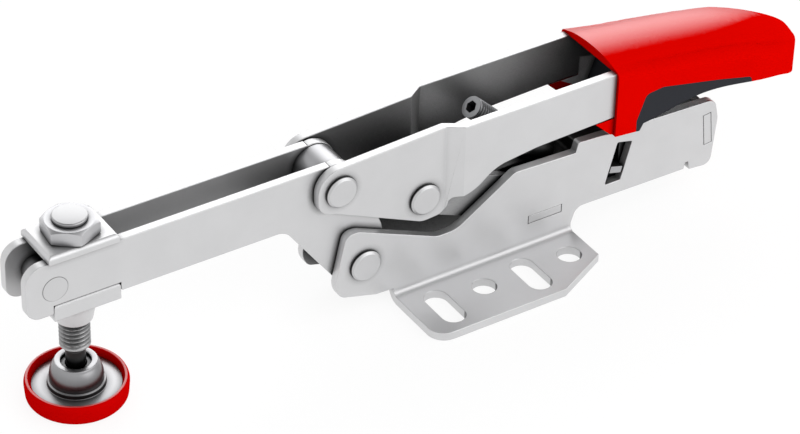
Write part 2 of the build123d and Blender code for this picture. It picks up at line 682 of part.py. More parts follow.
# Link rivets: one on each side, so that the adjusting screw can stand between the link plates
with BuildPart() as link_rivet_near:
    with BuildSketch(side_plane(ARM_INNER_Y)):
        with Locations(LINK_PIVOT):
            Circle(RIVET_RADIUS)
    extrude(amount=WALL_OUTER_Y - ARM_INNER_Y)
    with BuildSketch(side_plane(WALL_OUTER_Y)):
        with Locations(LINK_PIVOT):
            Circle(RIVET_HEAD_RADIUS)
    extrude(amount=RIVET_HEAD_HEIGHT)
    chamfer(link_rivet_near.faces().sort_by(Axis.Y)[0].edges(), length=RIVET_HEAD_HEIGHT / 2)
save(link_rivet_near, "link_rivet_near")

with BuildPart() as link_rivet_far:
    mirror(link_rivet_near.part, about=Plane.XZ)
save(link_rivet_far, "link_rivet_far")

# Link plates and the pin that carries their rear ends
with BuildPart() as link_plate_near:
    with BuildSketch(side_plane(ARM_INNER_Y)):
        with Locations(LINK_PIVOT):
            Circle(LINK_FRONT_ROUND)
        with Locations(SLIDE_PIVOT):
            Circle(LINK_REAR_ROUND)
        make_hull()
        with Locations(LINK_PIVOT):
            Circle(RIVET_RADIUS + RUN_FIT, mode=Mode.SUBTRACT)
        with Locations(SLIDE_PIVOT):
            Circle(LINK_PIN_RADIUS + SEAT_FIT, mode=Mode.SUBTRACT)
    extrude(amount=SHEET)
save(link_plate_near, "link_plate_near")

with BuildPart() as link_plate_far:
    mirror(link_plate_near.part, about=Plane.XZ)
save(link_plate_far, "link_plate_far")

with BuildPart() as link_pin:
    with BuildSketch(Plane.XZ):
        with Locations(SLIDE_PIVOT):
            Circle(LINK_PIN_RADIUS)
    extrude(amount=ARM_OUTER_Y, both=True)
save(link_pin, "link_pin")

# Adjusting screw, leaning back into the slide
screw_axis = Vector(
    math.cos(math.radians(SCREW_SLOPE)), 0, -math.sin(math.radians(SCREW_SLOPE))
)
screw_plane = Plane(origin=(SCREW_TOP[0], 0, SCREW_TOP[1]), x_dir=(0, 1, 0), z_dir=screw_axis)
with BuildPart() as adjusting_screw:
    with BuildSketch(screw_plane):
        Circle(SCREW_RADIUS)
    extrude(amount=SCREW_LENGTH)
    chamfer(adjusting_screw.edges().filter_by(GeomType.CIRCLE), length=0.4)
    with BuildSketch(screw_plane):
        RegularPolygon(SCREW_SOCKET_FLATS / math.sqrt(3), side_count=6)
    extrude(amount=SCREW_SOCKET_DEPTH, mode=Mode.SUBTRACT)
save(adjusting_screw, "adjusting_screw")

# Adjusting slide: block between the walls, tongue with the long pin slot, boss for the screw
slide_half_width = WALL_INNER_Y - LAYER_GAP
slide_bottom_z = FRONT_TIE_Z + TIE_THICKNESS / 2 + LAYER_GAP
pin_slot_front_x = SLIDE_PIVOT[0] - LINK_PIN_RADIUS - LAYER_GAP - SLIDE_TRAVEL
pin_slot_rear_x = SLIDE_PIVOT[0] + LINK_PIN_RADIUS + LAYER_GAP + PIN_STRAY
pin_slot_bottom_z = SLIDE_PIVOT[1] - LINK_PIN_RADIUS - LAYER_GAP
pin_slot_top_z = SLIDE_PIVOT[1] + LINK_PIN_RADIUS + LAYER_GAP + PIN_LIFT
tongue_wall = 2.6
wedge_slot_middle = (WEDGE_SLOT_FOOT[0] + WEDGE_SLOT_WIDTH / 2, WEDGE_SLOT_FOOT[1])
bar_centre = lean(wedge_slot_middle, WEDGE_SLOT_LEAN, BAR_REST_RISE)
bar_half_x = BAR_WIDTH / 2 * math.cos(math.radians(WEDGE_SLOT_LEAN)) + BAR_THICKNESS / 2 * math.sin(
    math.radians(WEDGE_SLOT_LEAN)
)
bar_half_z = BAR_WIDTH / 2 * math.sin(math.radians(WEDGE_SLOT_LEAN)) + BAR_THICKNESS / 2 * math.cos(
    math.radians(WEDGE_SLOT_LEAN)
)
bar_rise = BAR_TRAVEL * math.cos(math.radians(WEDGE_SLOT_LEAN))
window_bottom_z = bar_centre[1] - bar_half_z - LAYER_GAP
window_top_z = bar_centre[1] + bar_half_z + bar_rise + LAYER_GAP
spring_bottom_z = bar_centre[1] + bar_half_z + 0.1
spring_top_z = SLIDE_TOP_Z - 1.2
pocket_radius = SPRING_RADIUS + SPRING_WIRE_RADIUS + LAYER_GAP

with BuildPart() as adjusting_slide:
    with BuildSketch(Plane.XZ):
        with BuildLine():
            FilletPolyline(
                (SLIDE_FRONT_X, slide_bottom_z),
                (SLIDE_REAR_X, slide_bottom_z),
                (SLIDE_REAR_X, SLIDE_TOP_Z),
                (SLIDE_DECK_X, SLIDE_TOP_Z),
                (SLIDE_DECK_X, SLIDE_SHOULDER_Z),
                (SLIDE_FRONT_X, SLIDE_SHOULDER_Z),
                radius=[0.5, 1.0, 1.0, 0.5, 1.0, 1.0],
                close=True,
            )
        make_face()
    extrude(amount=slide_half_width, both=True)
    with BuildSketch(Plane.XZ):
        with BuildLine():
            FilletPolyline(
                (pin_slot_front_x - tongue_wall, pin_slot_bottom_z - tongue_wall),
                (SLIDE_FRONT_X + 1.0, pin_slot_bottom_z - tongue_wall),
                (SLIDE_FRONT_X + 1.0, pin_slot_top_z + tongue_wall),
                (pin_slot_front_x - tongue_wall, pin_slot_top_z + tongue_wall),
                radius=[4.0, 0, 0, 4.0],
                close=True,
            )
        make_face()
    extrude(amount=TONGUE_HALF_WIDTH, both=True)
    with BuildSketch(screw_plane.offset(SCREW_BOSS_START)):
        Circle(SCREW_BOSS_RADIUS)
    extrude(amount=SCREW_LENGTH - SCREW_BOSS_START)
    with BuildSketch(screw_plane.offset(SCREW_BOSS_START)):
        Circle(SCREW_RADIUS + RUN_FIT)
    extrude(amount=SCREW_LENGTH - SCREW_BOSS_START + 1.0, mode=Mode.SUBTRACT)
    with BuildSketch(Plane.XZ):
        with Locations(
            ((pin_slot_front_x + pin_slot_rear_x) / 2, (pin_slot_bottom_z + pin_slot_top_z) / 2)
        ):
            RectangleRounded(
                pin_slot_rear_x - pin_slot_front_x, pin_slot_top_z - pin_slot_bottom_z, LINK_PIN_RADIUS
            )
        with Locations((bar_centre[0], (window_bottom_z + window_top_z) / 2)):
            Rectangle(2 * (bar_half_x + LAYER_GAP), window_top_z - window_bottom_z)
    extrude(amount=slide_half_width, both=True, mode=Mode.SUBTRACT)
    with BuildSketch(Plane.XY.offset(spring_top_z)):
        with Locations((bar_centre[0], 0)):
            Circle(pocket_radius)
    extrude(amount=window_top_z - spring_top_z, mode=Mode.SUBTRACT)
save(adjusting_slide, "adjusting_slide")

# Wedge bar in the leaning slots of both walls
bar_half_length = WALL_OUTER_Y - 0.2
with BuildPart() as wedge_bar:
    with BuildSketch(Plane.XZ):
        with Locations(bar_centre):
            Rectangle(BAR_WIDTH, BAR_THICKNESS, rotation=-WEDGE_SLOT_LEAN)
    extrude(amount=bar_half_length, both=True)
save(wedge_bar, "wedge_bar")

# Pressure spring between the bar and the slide's ceiling
spring_height = spring_top_z - spring_bottom_z - 2 * SPRING_WIRE_RADIUS - 0.2
with BuildPart() as pressure_spring:
    with BuildLine():
        coil = Helix(
            pitch=spring_height / SPRING_TURNS,
            height=spring_height,
            radius=SPRING_RADIUS,
            center=(bar_centre[0], 0, spring_bottom_z + SPRING_WIRE_RADIUS),
        )
    with BuildSketch(Plane(origin=coil @ 0, z_dir=coil % 0)):
        Circle(SPRING_WIRE_RADIUS)
    sweep(path=coil, is_frenet=True)
save(pressure_spring, "pressure_spring")

# Grip: a crowned form with a rounded end, split into the hollow shell and the soft insert
# Cross-sections: distance behind the front, fall of the crown and radius of the shoulders
grip_stations = [(-1.0, 0.0, 1.2), (22.0, 3.0, 3.5), (46.0, 7.7, 5.5), (70.0, 16.0, 7.0)]
grip_end_depth = GRIP_END_X - GRIP_TURN_X
plate_bottom_z = HANDLE_BOTTOM_Z - GRIP_FIT - 0.4
end_outline = [
    (GRIP_TURN_X, GRIP_HALF_WIDTH),
    (GRIP_TURN_X + 0.65 * grip_end_depth, 0.79 * GRIP_HALF_WIDTH),
    (GRIP_TURN_X + 0.93 * grip_end_depth, 0.41 * GRIP_HALF_WIDTH),
    (GRIP_END_X, 0),
]
underside_points = [
    (INSERT_FRONT_X + 2.1, GRIP_SKIRT_Z + 1.1),
    (INSERT_FRONT_X + 11.0, GRIP_SKIRT_Z + 2.6),
    (INSERT_FRONT_X + 20.0, GRIP_SKIRT_Z + 4.0),
    (INSERT_REAR_X, GRIP_SKIRT_Z + 1.6),
    (GRIP_TURN_X + 10.0, GRIP_SKIRT_Z),
    (GRIP_END_X - 5.4, GRIP_SKIRT_Z - 3.2),
    (GRIP_END_X + 2.6, GRIP_SKIRT_Z - 8.2),
]
insert_points = [
    (INSERT_FRONT_X, HANDLE_BOTTOM_Z / 2),
    (INSERT_FRONT_X - 0.3, GRIP_SKIRT_Z + 2.6),
    (INSERT_FRONT_X + 2.5, INSERT_TOP_Z - 0.6),
    (INSERT_FRONT_X + 7.9, INSERT_TOP_Z),
    (INSERT_REAR_X - 13.6, INSERT_REAR_Z + 2.6),
    (INSERT_REAR_X - 3.3, INSERT_REAR_Z),
    (INSERT_REAR_X, HANDLE_BOTTOM_Z / 2),
]
insert_radii = [0, 2.0, 2.0, 4.0, 30.0, 1.5, 0]

with BuildPart() as grip_form:
    for reach, fall, shoulder_radius in grip_stations:
        crown_z = GRIP_LIP_Z - fall
        shoulder_z = crown_z - GRIP_CROWN
        with BuildSketch(Plane.YZ.offset(GRIP_FRONT_X + reach)) as grip_section:
            with BuildLine():
                Polyline(
                    (-GRIP_HALF_WIDTH, shoulder_z),
                    (-GRIP_HALF_WIDTH, 0),
                    (GRIP_HALF_WIDTH, 0),
                    (GRIP_HALF_WIDTH, shoulder_z),
                )
                ThreePointArc((GRIP_HALF_WIDTH, shoulder_z), (0, crown_z), (-GRIP_HALF_WIDTH, shoulder_z))
            make_face()
            fillet(grip_section.vertices().group_by(Axis.Y)[-1], radius=shoulder_radius)
    loft()
    with BuildSketch(Plane.XY):
        with BuildLine():
            Spline(*end_outline, tangents=((1, 0), (0, -1)))
            Polyline((GRIP_END_X, 0), (GRIP_FRONT_X, 0), (GRIP_FRONT_X, GRIP_HALF_WIDTH), end_outline[0])
        make_face()
        mirror(about=Plane.XZ)
    extrude(amount=GRIP_LIP_Z, mode=Mode.INTERSECT)
    with BuildSketch(Plane.XZ):
        with BuildLine():
            Spline(*underside_points, tangents=((1, 0.1), (1, -0.8)))
            Polyline(
                underside_points[-1],
                (GRIP_END_X + 2.6, 0),
                (GRIP_FRONT_X - 1.0, 0),
                (GRIP_FRONT_X - 1.0, GRIP_SKIRT_Z),
                (INSERT_FRONT_X + 0.9, GRIP_SKIRT_Z - 0.9),
                underside_points[0],
            )
        make_face()
    extrude(amount=2 * GRIP_HALF_WIDTH, both=True, mode=Mode.SUBTRACT)
    end_edges = grip_form.edges().filter_by(lambda edge: edge.center().X > GRIP_TURN_X)
    fillet(end_edges.filter_by(lambda edge: edge.center().Z > INSERT_REAR_Z), radius=GRIP_END_ROUND)

# The shell holds a pocket for each plate: its full height at the mouth, then the tang's
pocket_front_x = GRIP_FRONT_X - GRIP_TONGUE_REACH - 1.0
with BuildPart() as tang_pockets:
    with BuildSketch(Plane.XY.offset(GRIP_SKIRT_Z)):
        with BuildLine():
            Polyline(*strip_band(WALL_INNER_Y - GRIP_FIT, WALL_OUTER_Y + GRIP_FIT), close=True)
        make_face()
    extrude(amount=GRIP_LIP_Z)
    with BuildSketch(Plane.XZ):
        with BuildLine():
            Polyline(
                (pocket_front_x, plate_bottom_z),
                (TANG_START_X + GRIP_FIT, plate_bottom_z),
                (TANG_START_X + GRIP_FIT, TANG_Z - TANG_HEIGHT / 2 - GRIP_FIT),
                (TANG_END_X + GRIP_FIT, TANG_Z - TANG_HEIGHT / 2 - GRIP_FIT - TANG_FALL),
                (TANG_END_X + GRIP_FIT, TANG_Z + TANG_HEIGHT / 2 + GRIP_FIT - TANG_FALL),
                (TANG_START_X + GRIP_FIT, TANG_Z + TANG_HEIGHT / 2 + GRIP_FIT),
                (TANG_START_X + GRIP_FIT, HANDLE_TOP_Z + GRIP_FIT),
                (pocket_front_x, HANDLE_TOP_Z + GRIP_FIT),
                close=True,
            )
        make_face()
    extrude(amount=3 * GRIP_HALF_WIDTH, both=True, mode=Mode.INTERSECT)
    mirror(about=Plane.XZ)

with BuildPart() as grip_insert_block:
    add(grip_form.part)
    with BuildSketch(Plane.XZ):
        with BuildLine():
            FilletPolyline(*insert_points, radius=insert_radii, close=True)
        make_face()
    extrude(amount=2 * GRIP_HALF_WIDTH, both=True, mode=Mode.INTERSECT)

with BuildPart() as grip_shell:
    add(grip_form.part)
    with BuildSketch(Plane.XZ):
        with BuildLine():
            Polyline(
                (GRIP_FRONT_X - GRIP_TONGUE_REACH, plate_bottom_z),
                (GRIP_FRONT_X - 0.9, GRIP_SKIRT_Z + 0.4),
                (GRIP_FRONT_X + 1.0, GRIP_SKIRT_Z),
                (GRIP_FRONT_X + 1.0, plate_bottom_z),
                close=True,
            )
        make_face()
    extrude(amount=GRIP_PLATE_OUTER_Y, both=True)
    with BuildSketch(Plane.XZ):
        with BuildLine():
            Polyline(
                (pocket_front_x, 0),
                (TANG_END_X + 1.0, 0),
                (TANG_END_X + 1.0, GRIP_CAVITY_END_Z),
                (TANG_START_X, HANDLE_TOP_Z + GRIP_FIT),
                (pocket_front_x, HANDLE_TOP_Z + GRIP_FIT),
                close=True,
            )
        make_face()
    extrude(amount=GRIP_PLATE_INNER_Y - GRIP_FIT, both=True, mode=Mode.SUBTRACT)
    add(grip_insert_block.part, mode=Mode.SUBTRACT)
    add(tang_pockets.part, mode=Mode.SUBTRACT)
save(grip_shell, "grip_shell")

with BuildPart() as grip_insert:
    add(grip_insert_block.part)
    add(tang_pockets.part, mode=Mode.SUBTRACT)
save(grip_insert, "grip_insert")
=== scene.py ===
"""Horizontal toggle clamp: finish and fine forms of every piece, on a white studio floor.

Metres, in the clamp's own frame: +X runs from the pressure spindle to the grip, +Z is up from the
bench, and -Y is the near side.
"""

import math

import bmesh
import bpy
import numpy as np
from mathutils import Matrix, Vector


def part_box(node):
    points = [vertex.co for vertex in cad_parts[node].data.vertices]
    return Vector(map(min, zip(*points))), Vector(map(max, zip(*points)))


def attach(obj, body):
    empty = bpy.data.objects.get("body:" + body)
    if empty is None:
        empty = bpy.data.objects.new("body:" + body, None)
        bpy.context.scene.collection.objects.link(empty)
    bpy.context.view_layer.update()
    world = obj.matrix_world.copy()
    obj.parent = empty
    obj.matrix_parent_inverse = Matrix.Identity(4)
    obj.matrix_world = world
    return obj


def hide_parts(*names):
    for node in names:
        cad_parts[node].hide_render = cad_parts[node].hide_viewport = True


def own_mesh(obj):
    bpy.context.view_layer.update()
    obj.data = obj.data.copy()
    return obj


bl_info = {
    "name": "Horizontal toggle clamp",
    "version": (1, 0, 0),
    "blender": (4, 5, 0),
    "location": "View3D > Sidebar > Clamp",
    "description": "Builds the clamp's plates, spindle, grip and studio around its packed frame",
    "category": "Object",
}

MM = 0.001
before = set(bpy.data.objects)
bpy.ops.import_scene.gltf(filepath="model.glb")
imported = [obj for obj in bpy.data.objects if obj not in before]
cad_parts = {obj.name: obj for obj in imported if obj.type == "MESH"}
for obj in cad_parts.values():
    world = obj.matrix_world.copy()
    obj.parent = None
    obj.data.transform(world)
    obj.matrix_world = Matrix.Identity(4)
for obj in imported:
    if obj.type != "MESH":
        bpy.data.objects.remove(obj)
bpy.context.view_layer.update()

# Where the photograph was taken from: bearing, height angle and tilt of the camera, in radians
CAMERA_PLACE_MM = (-426.873, -600.936, 544.214)
CAMERA_AZIMUTH = 0.5857116
CAMERA_ELEVATION = 0.629662
CAMERA_ROLL = 0.0264271
CAMERA_LENS_MM = 154.1
SENSOR_WIDTH_MM = 36.0
VIEW_LIMIT = 20.0

# Toward the bright windows behind the clamp and in front of it, which its level faces and its walls mirror,
# how bright each is, and between which cosines from its middle a window's soft edge lies
BACK_LIGHT, BACK_STRENGTH = (0.551, 0.776, 0.309), 1.7
FRONT_LIGHT, FRONT_STRENGTH = (0.466, -0.656, 0.594), 1.1
WINDOW_EDGE = (0.72, 0.97)
# A soft lamp in front, in metres and watts
FILL_PLACE, FILL_AIM, FILL_SIZE, FILL_POWER = (-0.3, -0.9, 0.9), (-0.02, 0, 0.03), 1.0, 2.0
# How bright the surround is low down and overhead, and the sines of the height angles between which it starts
# at the horizon and falls toward overhead
SURROUND_LOW, SURROUND_OVERHEAD = 1.0, 0.25
HORIZON_RANGE, OVERHEAD_RANGE = (-0.02, 0.05), (0.6, 0.85)
# How far below the bench the floor lies, in mm, how white it shows and by what share over its shaded paper
FLOOR_DROP_MM, FLOOR_WHITE, FLOOR_SHARE = 0.2, 1.03, 0.85

# Pieces grouped by what they are made of, with the body that each rides on. Sheet also has two measures of
# how dark its painted shade turns where it is shut in: on its faces in general, and added on those turned
# inward
SHEET_NODES = {
    "base_plate_near": ("base", 0.05, 3.2),
    "base_plate_far": ("base", 0.05, 3.2),
    "front_tie": ("base", 0.4, 0.4),
    "rear_tie": ("base", 0.4, 0.4),
    "arm_plate_near": ("arm", 0.05, 0.36),
    "arm_plate_far": ("arm", 0.05, 0.36),
    "saddle": ("arm", 0.05, 0.4),
    "spindle_carrier": ("arm", 0.1, 0.4),
    "handle_plate_near": ("handle", 0.0, 1.2),
    "handle_plate_far": ("handle", 0.0, 1.2),
    "link_plate_near": ("link", 2.6, 0.4),
    "link_plate_far": ("link", 2.6, 0.4),
    "adjusting_slide": ("slide", 3.5, 0.5),
}
RIVET_NODES = {
    "arm_pivot_rivet": "base",
    "tip_rivet": "arm",
    "handle_rivet": "handle",
    "link_rivet_near": "handle",
    "link_rivet_far": "handle",
}
TURNED_NODES = {
    "arm_pivot_bush": "base",
    "handle_bush": "handle",
    "tip_spacer": "arm",
    "link_pin": "link",
    "wedge_bar": "wedge",
    "snap_ring": "ring",
}

# How far a point looks for what stands near it for the painted shade, in mm: for gaps and seams, which
# darken by the given power, and for channels
CLOSE_REACH_MM, CLOSE_POWER, WIDE_REACH_MM = 2.0, 1.5, 30.0
# Between which values a face counts as turned inward (its place times its lean across, in mm), as level and
# as looking sideways (its lean up and across), and as lit by the painted highlight (its lean toward its side)
INWARD_RANGE, LEVEL_RANGE, SIDEWAYS_RANGE, SHINE_RANGE = (-2.0, -4.0), (0.55, 0.8), (0.4, 0.75), (0.84, 0.99)

# Spindle, nut, foot and cap, in mm: heights above the bench and radii from the spindle's axis
SPINDLE_RADIUS = 4.0
SPINDLE_DISC_RADIUS, SPINDLE_DISC_HEIGHT = 4.55, 1.1
NECK_RADIUS, NECK_TOP = 2.6, 15.0
BALL_RADIUS, BALL_HEIGHT = 3.3, 7.4
SOCKET_RADIUS = 3.4
NUT_BASE, NUT_HEIGHT, NUT_FLATS, NUT_TURN_DEG = 50.62, 4.0, 13.0, 24.0
NUT_CHAMFER_DEG, NUT_FACE_SHARE, NUT_BORE_GAP = 30.0, 0.96, 0.07
CAP_FLOOR, DISC_TOP, FOOT_TOP = 1.8, 3.8, 11.0
DISC_RADIUS, BELL_RADIUS, BOSS_RADIUS, MOUTH_RADIUS = 11.7, 7.4, 5.6, 3.9
BELL_BULGE, MOUTH_UNDERCUT, MOUTH_DEPTH = 0.45, 0.5, 2.0
CAP_RADIUS, CAP_HEIGHT, CAP_LIP = 13.4, 5.7, 1.3
# Heights in mm between which painted shade darkens the steep faces of the spindle's foot end and of the foot,
# and how dark they turn at the lower one
SPINDLE_ROOT_SHADE = (14.6, 16.6, 0.1)
FOOT_ROOT_SHADE = (4.6, 13.0, 0.14)

# Adjusting screw, in mm: where its axis starts, its downward slope and its sizes, and the shares of its
# radius at which its socket's mouth and its end face stop
SCREW_TOP, SCREW_SLOPE_DEG = (-7.1, 46.2), 43.7
SCREW_RADIUS, SCREW_LENGTH, SCREW_FLATS, SCREW_END = 3.0, 32.0, 3.0, 0.3
SCREW_MOUTH_SHARE, SCREW_FACE_SHARE = 0.64, 0.72

# The way the faces with the painted highlight on the grip look: up, and a little away and forward
SHINE_SIDE = (-0.17, 0.26, 0.95)
# The shell is lined inside with steel above a slanting line: where a weighted sum of x and z passes this,
# in mm
LINING_SLANT, LINING_LINE = (0.6, 0, 1), 53.5
# Rounding of the grip's long shoulders, in mm: half the grip's width, how far the rounding reaches, and how
# deep the edge goes at places along its length
GRIP_HALF_WIDTH, SHOULDER_REACH = 10.75, 3.5
SHOULDER_DEPTH = ((31.0, 40.0, 80.0, 92.0), (0.25, 1.0, 1.0, 0.3))
# The grip's rounded end: where it starts and its length in mm, the power and the root of its outline with
# their product, rounded, and how far its rim drops and how far in that reaches in mm, with the drop's onset
NOSE_START_X, NOSE_LENGTH, NOSE_POWER, NOSE_ROOT, NOSE_SLOPE = 76.0, 21.6, 2.05, 0.44, 0.9
NOSE_DROP, NOSE_REACH, NOSE_ONSET = 6.0, 8.0, 1.2
# A low swell of the crown before the end, in mm, and the heights between which swell and drop grow to the
# whole
SWELL_X, SWELL_HEIGHT, SWELL_LENGTH = 80.0, 0.8, 16.0
TOP_RANGE = (36.0, 48.0)
# Where the shell is cut into finer faces before it is rounded, in mm: along, up and out from the middle
LENGTH_CUTS = np.arange(31.0, 97.0, 2.0)
HEIGHT_CUTS = np.arange(42.0, 53.0, 0.7)
SIDE_CUTS = np.array([10.6, 10.2, 9.6, 8.8, 7.8, 6.8])

SHEET_CREASE_DEG, NUT_CREASE_DEG, GRIP_CREASE_DEG = 35.0, 24.0, 28.0


def linear(hex_colour):
    """Linear RGBA of an sRGB colour written as #RRGGBB."""
    parts = [int(hex_colour[i : i + 2], 16) / 255 for i in (1, 3, 5)]
    return tuple(c / 12.92 if c <= 0.04045 else ((c + 0.055) / 1.055) ** 2.4 for c in parts) + (1.0,)


class ClampSizes(bpy.types.PropertyGroup):
    """Sizes of the fine forms."""

    sheet_edge: bpy.props.FloatProperty(
        name="Sheet edge", description="Rounding of the stamped edges", default=0.22 * MM, subtype="DISTANCE"
    )
    turned_edge: bpy.props.FloatProperty(
        name="Turned edge", description="Rounding of turned and pressed edges", default=0.15 * MM,
        subtype="DISTANCE",
    )
    spindle_pitch: bpy.props.FloatProperty(
        name="Spindle pitch", description="Pitch of the M8 spindle thread", default=1.25 * MM,
        subtype="DISTANCE",
    )
    screw_pitch: bpy.props.FloatProperty(
        name="Screw pitch", description="Pitch of the M6 adjusting screw", default=1.0 * MM,
        subtype="DISTANCE",
    )
    floor_width: bpy.props.FloatProperty(
        name="Floor width", description="Width of the studio floor", default=6.0, subtype="DISTANCE"
    )


class ClampColours(bpy.types.PropertyGroup):
    """Colours of the finishes, as linear values."""

    zinc: bpy.props.FloatVectorProperty(
        name="Zinc", description="Zinc plating on the stamped sheet", size=4, subtype="COLOR",
        default=linear("#D2D2D3"), min=0, max=1,
    )
    steel: bpy.props.FloatVectorProperty(
        name="Steel", description="Plated steel of the lock nut", size=4, subtype="COLOR",
        default=linear("#C4C4C6"), min=0, max=1,
    )
    foot: bpy.props.FloatVectorProperty(
        name="Foot", description="Turned steel of the foot and the bushes", size=4, subtype="COLOR",
        default=linear("#B2B2B4"), min=0, max=1,
    )
    thread: bpy.props.FloatVectorProperty(
        name="Thread", description="Rolled thread of the spindle", size=4, subtype="COLOR",
        default=linear("#AEAEAF"), min=0, max=1,
    )
    screw: bpy.props.FloatVectorProperty(
        name="Screw", description="Blackened adjusting screw", size=4, subtype="COLOR",
        default=linear("#A2A3A5"), min=0, max=1,
    )
    grip_red: bpy.props.FloatVectorProperty(
        name="Grip red", description="Hard moulded grip", size=4, subtype="COLOR",
        default=linear("#D20300"), min=0, max=1,
    )
    cap_red: bpy.props.FloatVectorProperty(
        name="Cap red", description="Soft cap of the foot", size=4, subtype="COLOR",
        default=linear("#BC0202"), min=0, max=1,
    )
    lining_grey: bpy.props.FloatVectorProperty(
        name="Lining grey", description="Steel seen inside the grip's mouth", size=4, subtype="COLOR",
        default=linear("#E8E8EA"), min=0, max=1,
    )
    insert_grey: bpy.props.FloatVectorProperty(
        name="Insert grey", description="Soft insert under the grip", size=4, subtype="COLOR",
        default=linear("#323337"), min=0, max=1,
    )


def add_node(tree, kind, inputs=None, output=0, **settings):
    """Add a shader node with its settings; each input is a value or another node's output. Gives the named
    output, or the node itself where it has none."""
    made = tree.nodes.new(kind)
    for name, value in settings.items():
        setattr(made, name, value)
    for name, value in (inputs or {}).items():
        if isinstance(value, bpy.types.NodeSocket):
            tree.links.new(value, made.inputs[name])
        else:
            made.inputs[name].default_value = value
    return made.outputs[output] if made.outputs else made


def new_material(name):
    """An empty node material, and Object coordinates in metres."""
    material = bpy.data.materials.new(name)
    material.use_nodes = True
    tree = material.node_tree
    tree.nodes.clear()
    return material, tree, add_node(tree, "ShaderNodeTexCoord", output="Object")


def surface_noise(tree, place, size_mm, detail=2.0, stretch=(1, 1, 1)):
    """Noise whose spots are about size_mm across, stretched along the axes by the given factors."""
    scale = tuple(1 / (size_mm * MM * s) for s in stretch)
    scaled = add_node(tree, "ShaderNodeMapping", {"Vector": place, "Scale": scale})
    return add_node(tree, "ShaderNodeTexNoise", {"Vector": scaled, "Scale": 1.0, "Detail": detail}, "Fac")


def turned_inward(tree, place):
    """1 on faces that look toward the clamp's middle plane, and 0 on the others."""
    facing = add_node(tree, "ShaderNodeNewGeometry", output="Normal")
    across = add_node(tree, "ShaderNodeSeparateXYZ", {"Vector": facing}, "Y")
    side = add_node(tree, "ShaderNodeSeparateXYZ", {"Vector": place}, "Y")
    away = add_node(tree, "ShaderNodeMath", {0: across, 1: side}, operation="MULTIPLY")
    return add_node(
        tree, "ShaderNodeMapRange",
        {"Value": away, "From Min": INWARD_RANGE[0] * MM, "From Max": INWARD_RANGE[1] * MM},
    )


def painted_shade(tree, place, general, inward):
    """Painted shade: the share of its surroundings that a point sees past what stands near it, which falls in
    gaps, under edges and inside channels, and by which the colour is darkened there. The wide share counts by
    two powers, one for faces in general and one added on faces turned inward."""
    close, wide = (
        add_node(tree, "ShaderNodeAmbientOcclusion", {"Distance": reach * MM}, "AO", samples=8)
        for reach in (CLOSE_REACH_MM, WIDE_REACH_MM)
    )
    power = add_node(
        tree, "ShaderNodeMath", {0: turned_inward(tree, place), 1: inward, 2: general},
        operation="MULTIPLY_ADD",
    )
    wide = add_node(tree, "ShaderNodeMath", {0: wide, 1: power}, operation="POWER")
    close = add_node(tree, "ShaderNodeMath", {0: close, 1: CLOSE_POWER}, operation="POWER")
    return add_node(tree, "ShaderNodeMath", {0: close, 1: wide}, operation="MULTIPLY")


def tinted(tree, colour, factor, low, high, shade):
    """A colour made darker and lighter between two brightness factors, and darker by the shade."""
    cloudy = add_node(tree, "ShaderNodeMapRange", {"Value": factor, "To Min": low, "To Max": high})
    value = add_node(tree, "ShaderNodeMath", {0: cloudy, 1: shade}, operation="MULTIPLY")
    return add_node(tree, "ShaderNodeHueSaturation", {"Color": colour, "Value": value})


def root_shade(tree, place, low_mm, high_mm, darkest):
    """Painted shade for steep faces: a factor that falls from 1 at the upper height to the darkest at the
    lower one.
    """
    facing = add_node(tree, "ShaderNodeNewGeometry", output="Normal")
    upward = add_node(tree, "ShaderNodeSeparateXYZ", {"Vector": facing}, "Z")
    height = add_node(tree, "ShaderNodeSeparateXYZ", {"Vector": place}, "Z")
    level = add_node(
        tree, "ShaderNodeMapRange", {"Value": upward, "From Min": LEVEL_RANGE[0], "From Max": LEVEL_RANGE[1]}
    )
    fading = add_node(
        tree, "ShaderNodeMapRange",
        {"Value": height, "From Min": low_mm * MM, "From Max": high_mm * MM, "To Min": darkest},
    )
    return add_node(tree, "ShaderNodeMath", {0: level, 1: fading}, operation="MAXIMUM")


def painted_flank_shade(tree, darkest):
    """Painted shade round rivet heads: a factor of 1 on faces that look sideways out of the clamp, and dark
    on the flanks around them.
    """
    facing = add_node(tree, "ShaderNodeNewGeometry", output="Normal")
    across = add_node(tree, "ShaderNodeSeparateXYZ", {"Vector": facing}, "Y")
    size = add_node(tree, "ShaderNodeMath", {0: across}, operation="ABSOLUTE")
    return add_node(
        tree, "ShaderNodeMapRange",
        {"Value": size, "From Min": SIDEWAYS_RANGE[0], "From Max": SIDEWAYS_RANGE[1], "To Min": darkest},
    )


def zinc_plated_sheet(name, colour, general, inward):
    """Cold-rolled sheet, stamped and zinc plated: a satin grey with faint rolling lines and soft mottling,
    and painted shade in gaps and channels.
    """
    material, tree, place = new_material(name)
    grain = surface_noise(tree, place, 0.5, 3.0)
    rolling = surface_noise(tree, place, 0.35, 2.0, (40, 40, 1))
    mottle = surface_noise(tree, place, 9.0, 3.0)
    relief = add_node(tree, "ShaderNodeMath", {0: grain, 1: 0.5, 2: rolling}, operation="MULTIPLY_ADD")
    shader = add_node(
        tree,
        "ShaderNodeBsdfPrincipled",
        {
            "Metallic": 0.85,
            "Base Color": tinted(tree, colour, mottle, 0.94, 1.05, painted_shade(tree, place, general, inward)),
            "Roughness": add_node(
                tree, "ShaderNodeMapRange", {"Value": mottle, "To Min": 0.36, "To Max": 0.46}
            ),
            "Normal": add_node(tree, "ShaderNodeBump", {"Height": relief, "Distance": 0.006 * MM}),
        },
    )
    add_node(tree, "ShaderNodeOutputMaterial", {"Surface": shader})
    return material


